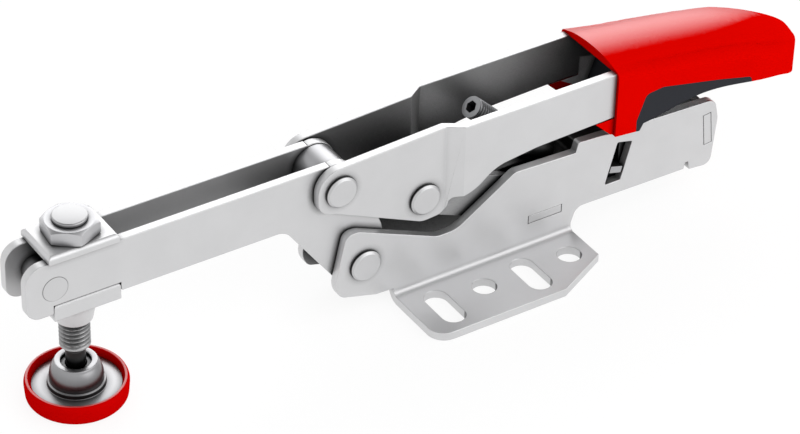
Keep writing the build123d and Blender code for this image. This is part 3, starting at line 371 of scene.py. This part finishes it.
def bright_steel(name, colour, low, high, general, root=None, flank=None):
    """Turned or pressed steel: brighter and smoother than the sheet, with a fine grain, and painted shade in
    gaps and channels. A root gives the two heights in mm between which painted shade darkens its steep faces
    toward the bottom, and how dark they turn. A flank gives how dark the painted shade on the rims of rivet
    heads is."""
    material, tree, place = new_material(name)
    shade = painted_shade(tree, place, general, 0.0)
    # Painted shade down the steep faces toward the bottom
    if root:
        shade = add_node(
            tree, "ShaderNodeMath", {0: shade, 1: root_shade(tree, place, *root)}, operation="MULTIPLY"
        )
    # Painted shade on the rims of rivet heads
    if flank:
        shade = add_node(tree, "ShaderNodeMath", {0: shade, 1: painted_flank_shade(tree, flank)}, operation="MULTIPLY")
    grain = surface_noise(tree, place, 0.25)
    mottle = surface_noise(tree, place, 4.0)
    shader = add_node(
        tree,
        "ShaderNodeBsdfPrincipled",
        {
            "Metallic": 1.0,
            "Base Color": tinted(tree, colour, mottle, 0.95, 1.03, shade),
            "Roughness": add_node(
                tree, "ShaderNodeMapRange", {"Value": mottle, "To Min": low, "To Max": high}
            ),
            "Normal": add_node(tree, "ShaderNodeBump", {"Height": grain, "Distance": 0.003 * MM}),
        },
    )
    add_node(tree, "ShaderNodeOutputMaterial", {"Surface": shader})
    return material


def moulded_plastic(name, colour, low, high, grain_mm, depth_mm, gloss, swell=0.0, lining=None, inward=0.6):
    """Injection moulded plastic: one colour through, with the eroded mould's fine grain, and painted shade in
    gaps and hollows. Only the faces that look up toward the shine side reflect, as a painted highlight, while
    the flanks stay dull. The swell leans the shaded surface outward by that much for each mm from the middle,
    for a fuller crown. A lining is the colour of the faces turned inward above the slanting line."""
    material, tree, place = new_material(name)
    grain = surface_noise(tree, place, grain_mm)
    flow = surface_noise(tree, place, 12.0)
    facing = add_node(tree, "ShaderNodeNewGeometry", output="Normal")
    side = add_node(tree, "ShaderNodeVectorMath", {0: place, 1: (0, swell / MM, 0)}, operation="MULTIPLY")
    fuller = add_node(tree, "ShaderNodeVectorMath", {0: side, 1: facing}, operation="ADD")
    leaning = add_node(tree, "ShaderNodeVectorMath", {0: fuller}, operation="NORMALIZE")
    shine_facing = add_node(
        tree, "ShaderNodeVectorMath", {0: leaning, 1: SHINE_SIDE}, "Value", operation="DOT_PRODUCT"
    )
    # Painted highlight: the specular level rises only on faces that lean toward the shine side
    shine = add_node(
        tree, "ShaderNodeMapRange",
        {"Value": shine_facing, "From Min": SHINE_RANGE[0], "From Max": SHINE_RANGE[1], "To Min": 0.0, "To Max": gloss},
        interpolation_type="SMOOTHSTEP",
    )
    if lining is not None:
        slant = add_node(
            tree, "ShaderNodeVectorMath", {0: place, 1: LINING_SLANT}, "Value", operation="DOT_PRODUCT"
        )
        above = add_node(tree, "ShaderNodeMath", {0: slant, 1: LINING_LINE * MM}, operation="GREATER_THAN")
        inner = add_node(
            tree, "ShaderNodeMath", {0: above, 1: turned_inward(tree, place)}, operation="MULTIPLY"
        )
        colour = add_node(tree, "ShaderNodeMixRGB", {"Fac": inner, "Color1": colour, "Color2": lining})
    shader = add_node(
        tree,
        "ShaderNodeBsdfPrincipled",
        {
            "IOR": 1.49,
            "Base Color": tinted(tree, colour, flow, 0.97, 1.03, painted_shade(tree, place, 0.12, inward)),
            "Specular IOR Level": shine,
            "Roughness": add_node(tree, "ShaderNodeMapRange", {"Value": flow, "To Min": low, "To Max": high}),
            "Normal": add_node(
                tree, "ShaderNodeBump", {"Height": grain, "Distance": depth_mm * MM, "Normal": leaning}
            ),
        },
    )
    add_node(tree, "ShaderNodeOutputMaterial", {"Surface": shader})
    return material


def merged_arrays(mesh):
    """Vertices and triangles of a CAD node's loose triangles, with equal corners made one."""
    co = np.empty(len(mesh.vertices) * 3)
    mesh.vertices.foreach_get("co", co)
    mesh.calc_loop_triangles()
    triangles = np.empty(len(mesh.loop_triangles) * 3, dtype=np.int64)
    mesh.loop_triangles.foreach_get("vertices", triangles)
    _, first, inverse = np.unique(
        np.round(co.reshape(-1, 3) / (0.0005 * MM)).astype(np.int64), axis=0, return_index=True,
        return_inverse=True,
    )
    triangles = inverse.reshape(-1)[triangles].reshape(-1, 3)
    whole = (
        (triangles[:, 0] != triangles[:, 1])
        & (triangles[:, 1] != triangles[:, 2])
        & (triangles[:, 2] != triangles[:, 0])
    )
    return co.reshape(-1, 3)[first], triangles[whole]


def shade_smooth(mesh, crease):
    """Smooth shading whose edges over the crease angle stay sharp."""
    mesh.polygons.foreach_set("use_smooth", np.ones(len(mesh.polygons), dtype=bool))
    mesh.set_sharp_from_angle(angle=math.radians(crease))


def new_piece(name, vertices, faces, material, body, slot, crease=SHEET_CREASE_DEG):
    """A smooth-shaded mesh object that rides on its body."""
    mesh = bpy.data.meshes.new(name)
    mesh.from_pydata(vertices.tolist(), [], faces.tolist())
    shade_smooth(mesh, crease)
    mesh.materials.append(material)
    piece = bpy.data.objects.new(name, mesh)
    bpy.context.scene.collection.objects.link(piece)
    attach(piece, body)
    return piece


def merged_node(node, body, material, slot, crease=SHEET_CREASE_DEG):
    """A CAD node's merged copy, which takes the node's place."""
    vertices, triangles = merged_arrays(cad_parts[node].data)
    piece = new_piece(f"{node}_finish", vertices, triangles, material, body, slot, crease)
    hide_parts(node)
    return piece


def dressed_node(node, body, material, slot, edge):
    """A CAD node's merged copy with its flat faces made whole and its hard edges rounded."""
    piece = merged_node(node, body, material, slot)
    working = bmesh.new()
    working.from_mesh(piece.data)
    bmesh.ops.dissolve_limit(
        working, angle_limit=math.radians(0.4), verts=working.verts, edges=working.edges,
        delimit={"NORMAL"},
    )
    working.to_mesh(piece.data)
    working.free()
    piece.data.polygons.foreach_set("use_smooth", np.ones(len(piece.data.polygons), dtype=bool))
    rounding = piece.modifiers.new("edge_rounding", "BEVEL")
    rounding.width = edge
    rounding.segments = 2
    rounding.limit_method = "ANGLE"
    rounding.angle_limit = math.radians(32)
    rounding.use_clamp_overlap = False
    rounding.harden_normals = True
    return piece


def grid_faces(rows, columns):
    """Triangles of a grid of points whose columns close into a ring."""
    row, column = np.meshgrid(np.arange(rows - 1), np.arange(columns), indexing="ij")
    here = row * columns + column
    beside = row * columns + (column + 1) % columns
    above, across_above = here + columns, beside + columns
    lower = np.stack([here, beside, across_above], axis=-1)
    upper = np.stack([here, across_above, above], axis=-1)
    return np.concatenate([lower.reshape(-1, 3), upper.reshape(-1, 3)])


def closed_grid(points):
    """Vertices and faces of a ring grid with a middle point at each end, fanned to the end's ring."""
    rows, columns = points.shape[:2]
    flat = points.reshape(-1, 3)
    middles = np.stack([points[0].mean(axis=0), points[-1].mean(axis=0)])
    ring = np.arange(columns)
    after = (ring + 1) % columns
    first = np.stack([np.full(columns, len(flat)), after, ring], axis=-1)
    last_row = (rows - 1) * columns
    last = np.stack([np.full(columns, len(flat) + 1), last_row + ring, last_row + after], axis=-1)
    return np.concatenate([flat, middles]), np.concatenate([grid_faces(rows, columns), first, last])


def threaded_rod(radius, pitch, length, plain_ends, steps_round=48, steps_a_turn=12):
    """Points of a right-hand thread along +Z from z = 0: the radius falls and rises with
    the fraction of a turn, z / pitch - angle / turn, as a rounded V, and fades to plain at each end."""
    depth = 0.6 * pitch
    rows = int(length / pitch * steps_a_turn) + 1
    z = np.linspace(0, length, rows)[:, None]
    angle = np.linspace(0, 2 * math.pi, steps_round, endpoint=False)[None, :]
    turn = (z / pitch - angle / (2 * math.pi)) % 1.0
    v_shape = np.clip(np.abs(turn - 0.5) * 2.4 - 0.1, 0, 1)
    fade = np.clip((z - plain_ends) / pitch, 0, 1) * np.clip((length - plain_ends - z) / pitch, 0, 1)
    r = radius - depth * v_shape * fade
    return np.stack([r * np.cos(angle), r * np.sin(angle), z + 0 * angle], axis=-1)


def rounded(corners, steps=6):
    """Profile points through (radius, z, rounding) corners: each corner with a rounding becomes an arc that
    touches both of its sides."""
    corners = np.array(corners, dtype=float)
    path = []
    for index, (r, z, rounding) in enumerate(corners):
        here = np.array([r, z])
        if rounding == 0:
            path.append(here[None])
            continue
        back = corners[index - 1, :2] - here
        ahead = corners[index + 1, :2] - here
        back, ahead = back / np.linalg.norm(back), ahead / np.linalg.norm(ahead)
        half = math.acos(np.clip(back @ ahead, -1, 1)) / 2
        middle = (back + ahead) / np.linalg.norm(back + ahead)
        centre = here + middle * rounding / math.sin(half)
        start = here + back * rounding / math.tan(half) - centre
        end = here + ahead * rounding / math.tan(half) - centre
        sweep = math.pi - 2 * half
        share = np.linspace(0, 1, steps)[:, None]
        arc = (np.sin((1 - share) * sweep) * start + np.sin(share * sweep) * end) / math.sin(sweep)
        path.append(centre + arc)
    return np.concatenate(path)


def bulged(start, end, bulge, steps=14):
    """Points from start to end along a shallow arc that stands out sideways by the bulge."""
    start, end = np.array(start, dtype=float), np.array(end, dtype=float)
    along = end - start
    outward = np.array([along[1], -along[0]]) / np.linalg.norm(along)
    share = np.linspace(0, 1, steps)[:, None]
    return start + along * share + outward * bulge * 4 * share * (1 - share)


def turned(profile, steps_round=128):
    """Points of a surface of revolution about Z through (radius, z) profile points."""
    radius, z = np.asarray(profile).T
    angle = np.linspace(0, 2 * math.pi, steps_round, endpoint=False)
    return np.stack(
        [radius[:, None] * np.cos(angle), radius[:, None] * np.sin(angle), z[:, None] + 0 * angle], axis=-1
    )


def hexagon(flats, angle, turn=0.0):
    """Radius of a regular hexagon at each angle: half its flats over the cosine from the nearest flat."""
    sixth = math.pi / 3
    from_flat = (angle - turn) % sixth - sixth / 2
    return flats / 2 / np.cos(from_flat)


def hex_nut(flats, height, bore, turn, steps_round=192):
    """Points of a nut from z = 0: bore, lead-in, flat face out to the chamfer's start, a chamfer that falls
    to the hexagon, a soft corner, the flats, and half the chamfer again below."""
    angle = np.linspace(0, 2 * math.pi, steps_round, endpoint=False)
    flat = np.ones_like(angle)
    side = hexagon(flats, angle, turn)
    face = NUT_FACE_SHARE * flats / 2
    fall = (side - face) * math.tan(math.radians(NUT_CHAMFER_DEG))
    share = np.linspace(0, 1, 5)[:, None]
    soft = 0.12 * MM
    chamfer_r = face + (side - face) * share
    chamfer_z = height - fall * share**1.15
    lower_r, lower_z = chamfer_r[::-1], (height - chamfer_z)[::-1] * 0.5
    inner = np.array([bore, bore, bore + 0.35 * MM])[:, None] * flat
    inner_z = np.array([0.4 * MM, height - 0.5 * MM, height])[:, None] * flat
    radius = np.concatenate(
        [inner, chamfer_r[:-1], side[None] - soft * 0.2, side[None], lower_r, bore * flat[None]]
    )
    z = np.concatenate(
        [inner_z, chamfer_z[:-1], chamfer_z[-1:], chamfer_z[-1:] - soft, lower_z, 0.0 * flat[None]]
    )
    return np.stack([radius * np.cos(angle), radius * np.sin(angle), z], axis=-1)


class CLAMP_OT_sheet_plates(bpy.types.Operator):
    """Finish the stamped plates with rounded edges and zinc plating"""

    bl_idname = "clamp.sheet_plates"
    bl_label = "Stamped plates"

    def execute(self, context):
        sizes, colours = context.scene.clamp_sizes, context.scene.clamp_colours
        for node, (body, general, inward) in SHEET_NODES.items():
            zinc = zinc_plated_sheet(f"zinc_plated_{node}", colours.zinc, general, inward)
            dressed_node(node, body, zinc, "zinc_steel", sizes.sheet_edge)
        return {"FINISHED"}


class CLAMP_OT_rivets_and_turned(bpy.types.Operator):
    """Finish the rivets, bushes, link pin, wedge bar, snap ring and pressure spring in steel"""

    bl_idname = "clamp.rivets_and_turned"
    bl_label = "Rivets and turned pieces"

    def execute(self, context):
        sizes, colours = context.scene.clamp_sizes, context.scene.clamp_colours
        # Pressed and plated with the plates they join: as pale as the sheet, with painted shade round the rim
        # of the head
        pressed = bright_steel("pressed_rivet_steel", colours.zinc, 0.34, 0.44, 0.05, flank=0.12)
        # Turned from bar: a smoother and darker steel that shows streaks of light
        turned_steel = bright_steel("turned_steel", colours.foot, 0.3, 0.4, 0.6)
        for node, body in RIVET_NODES.items():
            dressed_node(node, body, pressed, "rivet_steel", sizes.turned_edge)
        for node, body in TURNED_NODES.items():
            dressed_node(node, body, turned_steel, "bright_steel", sizes.turned_edge)
        self.add_spring(turned_steel)
        return {"FINISHED"}

    def add_spring(self, material):
        """The pressure spring as a merged copy with a mesh of its own; it is not made to shorten with the
        wedge bar's rise toward its end in the slide.
        """
        spring = merged_node("pressure_spring", "slide", material, "spring_steel")
        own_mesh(spring)


class CLAMP_OT_spindle(bpy.types.Operator):
    """Cut the spindle's thread, and turn its neck, ball, disc, nut, foot and cap"""

    bl_idname = "clamp.spindle"
    bl_label = "Spindle, nut and foot"

    def execute(self, context):
        low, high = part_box("spindle")
        middle = ((low.x + high.x) / 2, 0, 0)
        colours = context.scene.clamp_colours
        self.add_spindle(context.scene.clamp_sizes.spindle_pitch, colours.thread, high.z, middle)
        self.add_nut(colours.steel, middle)
        self.add_foot(colours.foot, middle)
        self.add_cap(colours.cap_red, middle)
        return {"FINISHED"}

    def add_spindle(self, pitch, colour, top, middle):
        """The ball, the neck, the thread up to the disc, and the disc that keeps the nut on."""
        # Rolled thread: satin steel, with painted shade down its steep faces where it enters the foot
        rolled = bright_steel("rolled_thread_steel", colour, 0.3, 0.4, 0.1, root=SPINDLE_ROOT_SHADE)
        disc_radius = SPINDLE_DISC_RADIUS * MM
        disc_low = top - SPINDLE_DISC_HEIGHT * MM + 0.03 * MM
        thread_low = (NECK_TOP + SPINDLE_RADIUS - NECK_RADIUS) * MM
        rod = threaded_rod(SPINDLE_RADIUS * MM, pitch, disc_low - thread_low, 0.0)
        rod[..., 2] += thread_low
        polar = np.linspace(-math.pi / 2, math.acos(NECK_RADIUS / BALL_RADIUS), 24)
        ball = np.stack([np.cos(polar), np.sin(polar)], axis=-1) * BALL_RADIUS + [0, BALL_HEIGHT]
        below = turned(np.concatenate([ball, [(NECK_RADIUS, NECK_TOP)]]) * MM, rod.shape[1])
        disc = [
            (SPINDLE_RADIUS * MM, disc_low, 0), (disc_radius, disc_low, 0.2 * MM),
            (disc_radius, top, 0.45 * MM), (0, top, 0),
        ]
        points = np.concatenate([below, rod, turned(rounded(disc), rod.shape[1])]) + middle
        self.add("spindle_thread", points, rolled, "spindle", "thread_steel", "spindle")

    def add_nut(self, colour, middle):
        """The lock nut, whose bore closes the ring of its profile."""
        # Zinc plated nut: a little darker and smoother than the sheet
        plated = bright_steel("zinc_plated_nut_steel", colour, 0.34, 0.44, 0.1)
        bore = (SPINDLE_RADIUS + NUT_BORE_GAP) * MM
        nut = hex_nut(NUT_FLATS * MM, NUT_HEIGHT * MM, bore, math.radians(NUT_TURN_DEG))
        ring = np.concatenate([nut, nut[:1]]) + middle + [0, 0, NUT_BASE * MM]
        faces = grid_faces(*ring.shape[:2])[:, ::-1]
        piece = new_piece(
            "lock_nut_turned", ring.reshape(-1, 3), faces, plated, "nut", "bright_steel", NUT_CREASE_DEG
        )
        working = bmesh.new()
        working.from_mesh(piece.data)
        bmesh.ops.remove_doubles(working, verts=working.verts, dist=0.001 * MM)
        working.to_mesh(piece.data)
        working.free()
        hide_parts("lock_nut")

    def add_foot(self, colour, middle):
        """The foot from its underside: disc, collar, bell, mouth with its undercut, and the ball's socket."""
        # Turned foot: bright on its level faces, with painted shade down the bell
        steel = bright_steel("turned_steel_foot", colour, 0.28, 0.36, 0.15, root=FOOT_ROOT_SHADE)
        shoulder = DISC_TOP + 1.4
        under = MOUTH_RADIUS + MOUTH_UNDERCUT
        socket = np.linspace(0, math.pi / 2, 12)
        foot = np.concatenate(
            [
                rounded([(0, CAP_FLOOR, 0), (DISC_RADIUS, CAP_FLOOR, 0.2), (DISC_RADIUS, DISC_TOP, 0.3),
                         (BELL_RADIUS + 0.05, DISC_TOP, 0.25), (BELL_RADIUS, DISC_TOP + 0.8, 0)]),
                rounded([(BELL_RADIUS, DISC_TOP + 0.8, 0), (BELL_RADIUS, DISC_TOP + 1.15, 0.18),
                         (BELL_RADIUS - 0.45, shoulder, 0)]),
                bulged((BELL_RADIUS - 0.45, shoulder + 0.05), (BOSS_RADIUS, FOOT_TOP - 0.5), BELL_BULGE)[1:],
                rounded([(BOSS_RADIUS, FOOT_TOP - 0.5, 0), (BOSS_RADIUS - 0.1, FOOT_TOP, 0.35),
                         (MOUTH_RADIUS, FOOT_TOP - 0.1, 0.3), (MOUTH_RADIUS, FOOT_TOP - 0.6, 0),
                         (under, FOOT_TOP - 0.6, 0), (under, FOOT_TOP - MOUTH_DEPTH, 0),
                         (SOCKET_RADIUS, FOOT_TOP - MOUTH_DEPTH, 0)])[1:],
                np.stack([np.cos(socket), -np.sin(socket)], axis=-1) * SOCKET_RADIUS + [0, BALL_HEIGHT],
            ]
        )
        points = turned(foot * MM) + middle
        self.add("swivel_foot_turned", points, steel, "foot", "bright_steel", "swivel_foot")

    def add_cap(self, colour, middle):
        """The cap from its underside: a tapered rim with a soft lip, down inside it, and under the disc."""
        # Soft cap: red rubbery plastic with a painted highlight along its lip
        red = moulded_plastic("soft_cap_plastic", colour, 0.34, 0.42, 0.5, 0.004, 1.8, inward=0.0)
        cap = rounded(
            [
                (0, 0, 0), (CAP_RADIUS - 0.4, 0, 1.2), (CAP_RADIUS, CAP_HEIGHT - 1.0, 2.5),
                (CAP_RADIUS - 0.5, CAP_HEIGHT, 0.35), (CAP_RADIUS - CAP_LIP, CAP_HEIGHT, 0.4),
                (DISC_RADIUS - 0.3, DISC_TOP, 0), (DISC_RADIUS, DISC_TOP, 0), (DISC_RADIUS, CAP_FLOOR, 0),
                (0, CAP_FLOOR, 0),
            ]
        )
        points = turned(cap * MM) + middle
        self.add("foot_cap_moulded", points, red, "foot", "red_cap", "foot_cap")

    def add(self, name, points, material, body, slot, node):
        """Make a closed turned piece that takes the place of a CAD node."""
        piece = new_piece(name, *closed_grid(points), material, body, slot)
        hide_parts(node)


class CLAMP_OT_adjusting_screw(bpy.types.Operator):
    """Cut the adjusting screw's thread and hexagon socket"""

    bl_idname = "clamp.adjusting_screw"
    bl_label = "Adjusting screw"

    def execute(self, context):
        sizes, colours = context.scene.clamp_sizes, context.scene.clamp_colours
        # Blackened screw: darker and duller than the plates round it
        dark = bright_steel("blackened_screw_steel", colours.screw, 0.4, 0.5, 0.2)
        rod = threaded_rod(SCREW_RADIUS * MM, sizes.screw_pitch, SCREW_LENGTH * MM, SCREW_END * MM)
        mouth = rod[:1] * [SCREW_MOUTH_SHARE, SCREW_MOUTH_SHARE, 0]
        angle = np.linspace(0, 2 * math.pi, rod.shape[1], endpoint=False)
        flat = hexagon(SCREW_FLATS * MM, angle)
        rim = np.stack([flat * np.cos(angle), flat * np.sin(angle), 0 * angle], axis=-1)[None]
        floor = rim + [0, 0, SCREW_FLATS * MM]
        rod[0, :, :2] *= SCREW_FACE_SHARE
        points = np.concatenate([floor, rim, mouth, rod])
        slope = math.radians(SCREW_SLOPE_DEG)
        down = Vector((math.cos(slope), 0, -math.sin(slope)))
        across = Vector((0, 1, 0))
        turn = np.array(Matrix((across, down.cross(across), down)))
        start = np.array([SCREW_TOP[0], 0, SCREW_TOP[1]]) * MM
        screw = new_piece("screw_thread", *closed_grid(points @ turn + start), dark, "screw", "thread_steel")
        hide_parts("adjusting_screw")
        return {"FINISHED"}


class CLAMP_OT_grip(bpy.types.Operator):
    """Finish the grip's hard shell and soft insert"""

    bl_idname = "clamp.grip"
    bl_label = "Grip"

    def execute(self, context):
        colours = context.scene.clamp_colours
        # Hard shell: clear red with a painted highlight along the crown, with pale steel seen inside its
        # mouth
        red = moulded_plastic(
            "red_moulded_plastic", colours.grip_red, 0.3, 0.36, 0.35, 0.006, 1.0, 0.012, colours.lining_grey
        )
        # Soft insert: near black, dull and grainy
        dark = moulded_plastic("dark_soft_plastic", colours.insert_grey, 0.5, 0.6, 0.3, 0.012, 0.3)
        shell = merged_node("grip_shell", "handle", red, "red_plastic", GRIP_CREASE_DEG)
        self.cut_finer(shell.data)
        self.soften(shell.data)
        merged_node("grip_insert", "handle", dark, "dark_plastic", GRIP_CREASE_DEG)
        return {"FINISHED"}

    def cut_finer(self, mesh):
        """Cut the shell's faces along planes, so that they can take the rounding."""
        working = bmesh.new()
        working.from_mesh(mesh)
        cuts = (
            (Vector((1, 0, 0)), LENGTH_CUTS),
            (Vector((0, 1, 0)), np.concatenate([-SIDE_CUTS, SIDE_CUTS])),
            (Vector((0, 0, 1)), HEIGHT_CUTS),
        )
        for direction, places in cuts:
            for place in places:
                everything = working.verts[:] + working.edges[:] + working.faces[:]
                bmesh.ops.bisect_plane(
                    working, geom=everything, plane_co=direction * float(place) * MM, plane_no=direction
                )
        working.to_mesh(mesh)
        working.free()

    def soften(self, mesh):
        """Round the long edges between the grip's crown and its sides: points closer to the edge than the
        reach move down and inward, by a depth that falls with the square of what is left of the reach. The
        crown swells by a bell curve of the length. The rounded end, whose half width is the grip's times
        (1 - share^power)^root of its length, drops toward its rim with the square of the way to it."""
        co = np.empty(len(mesh.vertices) * 3)
        mesh.vertices.foreach_get("co", co)
        x, y, z = (co.reshape(-1, 3) / MM).T
        share = np.clip((x - NOSE_START_X) / NOSE_LENGTH, 0, 0.999)
        left = 1 - share**NOSE_POWER
        half = GRIP_HALF_WIDTH * left**NOSE_ROOT
        slope = half / left * NOSE_SLOPE * share ** (NOSE_POWER - 1) / NOSE_LENGTH
        lean = 1 / np.sqrt(1 + slope**2)
        inside = (half - np.abs(y)) * lean
        away = np.maximum(inside, self.edge_height(x, z, inside) - z)
        depth = np.interp(x, *SHOULDER_DEPTH) * np.clip(1 - away / SHOULDER_REACH, 0, 1) ** 2 / math.sqrt(2)
        top = np.clip((z - TOP_RANGE[0]) / (TOP_RANGE[1] - TOP_RANGE[0]), 0, 1)
        drop = NOSE_DROP * np.clip(1 - inside / NOSE_REACH, 0, 1) ** 2 * share**NOSE_ONSET
        swell = SWELL_HEIGHT * np.exp(-(((x - SWELL_X) / SWELL_LENGTH) ** 2))
        moved = [x - depth * slope * lean, y - np.sign(y) * depth * lean, z - depth + (swell - drop) * top]
        mesh.vertices.foreach_set("co", (np.stack(moved, axis=-1) * MM).reshape(-1))
        shade_smooth(mesh, GRIP_CREASE_DEG)
        mesh.update()

    def edge_height(self, x, z, inside):
        """Height of the grip's side walls at each x: the highest wall point near each whole mm."""
        stations = np.arange(24.0, 99.0)
        height = np.full(len(stations), -1.0)
        wall = inside < 0.1
        nearest = np.clip(np.round(x[wall] - stations[0]).astype(int), 0, len(stations) - 1)
        np.maximum.at(height, nearest, z[wall])
        known = height > 0
        return np.interp(x, stations[known], height[known])


class CLAMP_OT_studio(bpy.types.Operator):
    """Set the white floor, the soft lights and the camera of the photograph"""

    bl_idname = "clamp.studio"
    bl_label = "Studio"

    def execute(self, context):
        self.add_floor(context)
        self.add_surround(context)
        self.add_lamp(context)
        self.add_camera(context)
        context.scene.view_settings.view_transform = "Standard"
        return {"FINISHED"}

    def add_floor(self, context):
        """A white floor that keeps a faint shadow and shows white to the camera and in reflections."""
        half = context.scene.clamp_sizes.floor_width / 2
        mesh = bpy.data.meshes.new("floor")
        corners = [(-half, -half), (half, -half), (half, half), (-half, half)]
        mesh.from_pydata([(x, y, -FLOOR_DROP_MM * MM) for x, y in corners], [], [(0, 1, 2, 3)])
        material, tree, _ = new_material("studio_floor")
        camera_ray = add_node(tree, "ShaderNodeLightPath", output="Is Camera Ray")
        glossy_ray = add_node(tree, "ShaderNodeLightPath", output="Is Glossy Ray")
        seen = add_node(tree, "ShaderNodeMath", {0: camera_ray, 1: glossy_ray}, operation="MAXIMUM")
        share = add_node(tree, "ShaderNodeMath", {0: seen, 1: FLOOR_SHARE}, operation="MULTIPLY")
        paper = add_node(tree, "ShaderNodeBsdfDiffuse", {"Color": linear("#F4F4F4")})
        white = add_node(tree, "ShaderNodeEmission", {"Color": (1, 1, 1, 1), "Strength": FLOOR_WHITE})
        mixed = add_node(tree, "ShaderNodeMixShader", {0: share, 1: paper, 2: white})
        add_node(tree, "ShaderNodeOutputMaterial", {"Surface": mixed})
        mesh.materials.append(material)
        floor = bpy.data.objects.new("floor", mesh)
        floor.visible_shadow = False
        context.scene.collection.objects.link(floor)

    def add_surround(self, context):
        """A white surround, dim overhead, with a bright window behind and one in front."""
        world = bpy.data.worlds.new("studio")
        world.use_nodes = True
        tree = world.node_tree
        tree.nodes.clear()
        direction = add_node(tree, "ShaderNodeTexCoord", output="Generated")
        behind = self.window(tree, direction, BACK_LIGHT, BACK_STRENGTH)
        front = self.window(tree, direction, FRONT_LIGHT, FRONT_STRENGTH)
        height = add_node(tree, "ShaderNodeSeparateXYZ", {"Vector": direction}, "Z")
        band = add_node(
            tree, "ShaderNodeMapRange",
            {"Value": height, "From Min": OVERHEAD_RANGE[0], "From Max": OVERHEAD_RANGE[1],
             "To Min": SURROUND_LOW, "To Max": SURROUND_OVERHEAD},
            interpolation_type="SMOOTHSTEP",
        )
        above = add_node(
            tree, "ShaderNodeMapRange",
            {"Value": height, "From Min": HORIZON_RANGE[0], "From Max": HORIZON_RANGE[1]},
        )
        windows = add_node(tree, "ShaderNodeMath", {0: behind, 1: front}, operation="ADD")
        whole = add_node(tree, "ShaderNodeMath", {0: windows, 1: band}, operation="ADD")
        sky = add_node(tree, "ShaderNodeMath", {0: whole, 1: above}, operation="MULTIPLY")
        camera_ray = add_node(tree, "ShaderNodeLightPath", output="Is Camera Ray")
        strength = add_node(tree, "ShaderNodeMix", {"Factor": camera_ray, "A": sky, "B": 1.0})
        surround = add_node(tree, "ShaderNodeBackground", {"Color": (1, 1, 1, 1), "Strength": strength})
        add_node(tree, "ShaderNodeOutputWorld", {"Surface": surround})
        context.scene.world = world

    def window(self, tree, direction, toward, strength):
        """Brightness of a soft-edged window seen along one direction."""
        facing = add_node(
            tree, "ShaderNodeVectorMath", {0: direction, 1: toward}, "Value", operation="DOT_PRODUCT"
        )
        return add_node(
            tree, "ShaderNodeMapRange",
            {"Value": facing, "From Min": WINDOW_EDGE[0], "From Max": WINDOW_EDGE[1], "To Max": strength},
            interpolation_type="SMOOTHSTEP",
        )

    def add_lamp(self, context):
        """A soft lamp in front, which no surface mirrors."""
        lamp = bpy.data.lights.new("fill", "AREA")
        lamp.size = FILL_SIZE
        lamp.energy = FILL_POWER
        shown = bpy.data.objects.new("fill", lamp)
        shown.location = FILL_PLACE
        shown.visible_glossy = False
        shown.rotation_euler = (Vector(FILL_AIM) - Vector(FILL_PLACE)).to_track_quat("-Z", "Y").to_euler()
        context.scene.collection.objects.link(shown)

    def add_camera(self, context):
        """The camera of the photograph, from its bearing, height angle and tilt."""
        sight = Vector(
            (
                math.sin(CAMERA_AZIMUTH) * math.cos(CAMERA_ELEVATION),
                math.cos(CAMERA_AZIMUTH) * math.cos(CAMERA_ELEVATION),
                -math.sin(CAMERA_ELEVATION),
            )
        )
        level = Vector((math.cos(CAMERA_AZIMUTH), -math.sin(CAMERA_AZIMUTH), 0))
        upright = level.cross(sight)
        right = level * math.cos(CAMERA_ROLL) + upright * math.sin(CAMERA_ROLL)
        up = -level * math.sin(CAMERA_ROLL) + upright * math.cos(CAMERA_ROLL)
        turn = Matrix((right, up, -sight)).transposed().to_4x4()
        data = bpy.data.cameras.new("camera")
        data.lens = CAMERA_LENS_MM
        data.sensor_width = SENSOR_WIDTH_MM
        data.clip_end = VIEW_LIMIT
        camera = bpy.data.objects.new("camera", data)
        camera.matrix_world = Matrix.Translation(Vector(CAMERA_PLACE_MM) * MM) @ turn
        context.scene.collection.objects.link(camera)
        context.scene.camera = camera


class CLAMP_PT_panel(bpy.types.Panel):
    """Sidebar panel with the clamp's sizes, colours and building steps"""

    bl_idname = "CLAMP_PT_panel"
    bl_label = "Toggle clamp"
    bl_space_type = "VIEW_3D"
    bl_region_type = "UI"
    bl_category = "Clamp"

    def draw(self, context):
        column = self.layout.column()
        for group in (context.scene.clamp_sizes, context.scene.clamp_colours):
            for name in group.__annotations__:
                column.prop(group, name)
        for step in STEPS:
            column.operator(step.bl_idname)


STEPS = (
    CLAMP_OT_studio,
    CLAMP_OT_sheet_plates,
    CLAMP_OT_rivets_and_turned,
    CLAMP_OT_spindle,
    CLAMP_OT_adjusting_screw,
    CLAMP_OT_grip,
)
CLASSES = (ClampSizes, ClampColours, *STEPS, CLAMP_PT_panel)


def register():
    for cls in CLASSES:
        bpy.utils.register_class(cls)
    bpy.types.Scene.clamp_sizes = bpy.props.PointerProperty(type=ClampSizes)
    bpy.types.Scene.clamp_colours = bpy.props.PointerProperty(type=ClampColours)


def unregister():
    del bpy.types.Scene.clamp_colours
    del bpy.types.Scene.clamp_sizes
    for cls in reversed(CLASSES):
        bpy.utils.unregister_class(cls)


def main():
    """Build everything in order."""
    register()
    bpy.ops.clamp.studio()
    bpy.ops.clamp.sheet_plates()
    bpy.ops.clamp.rivets_and_turned()
    bpy.ops.clamp.spindle()
    bpy.ops.clamp.adjusting_screw()
    bpy.ops.clamp.grip()


if __name__ == "__main__":
    main()
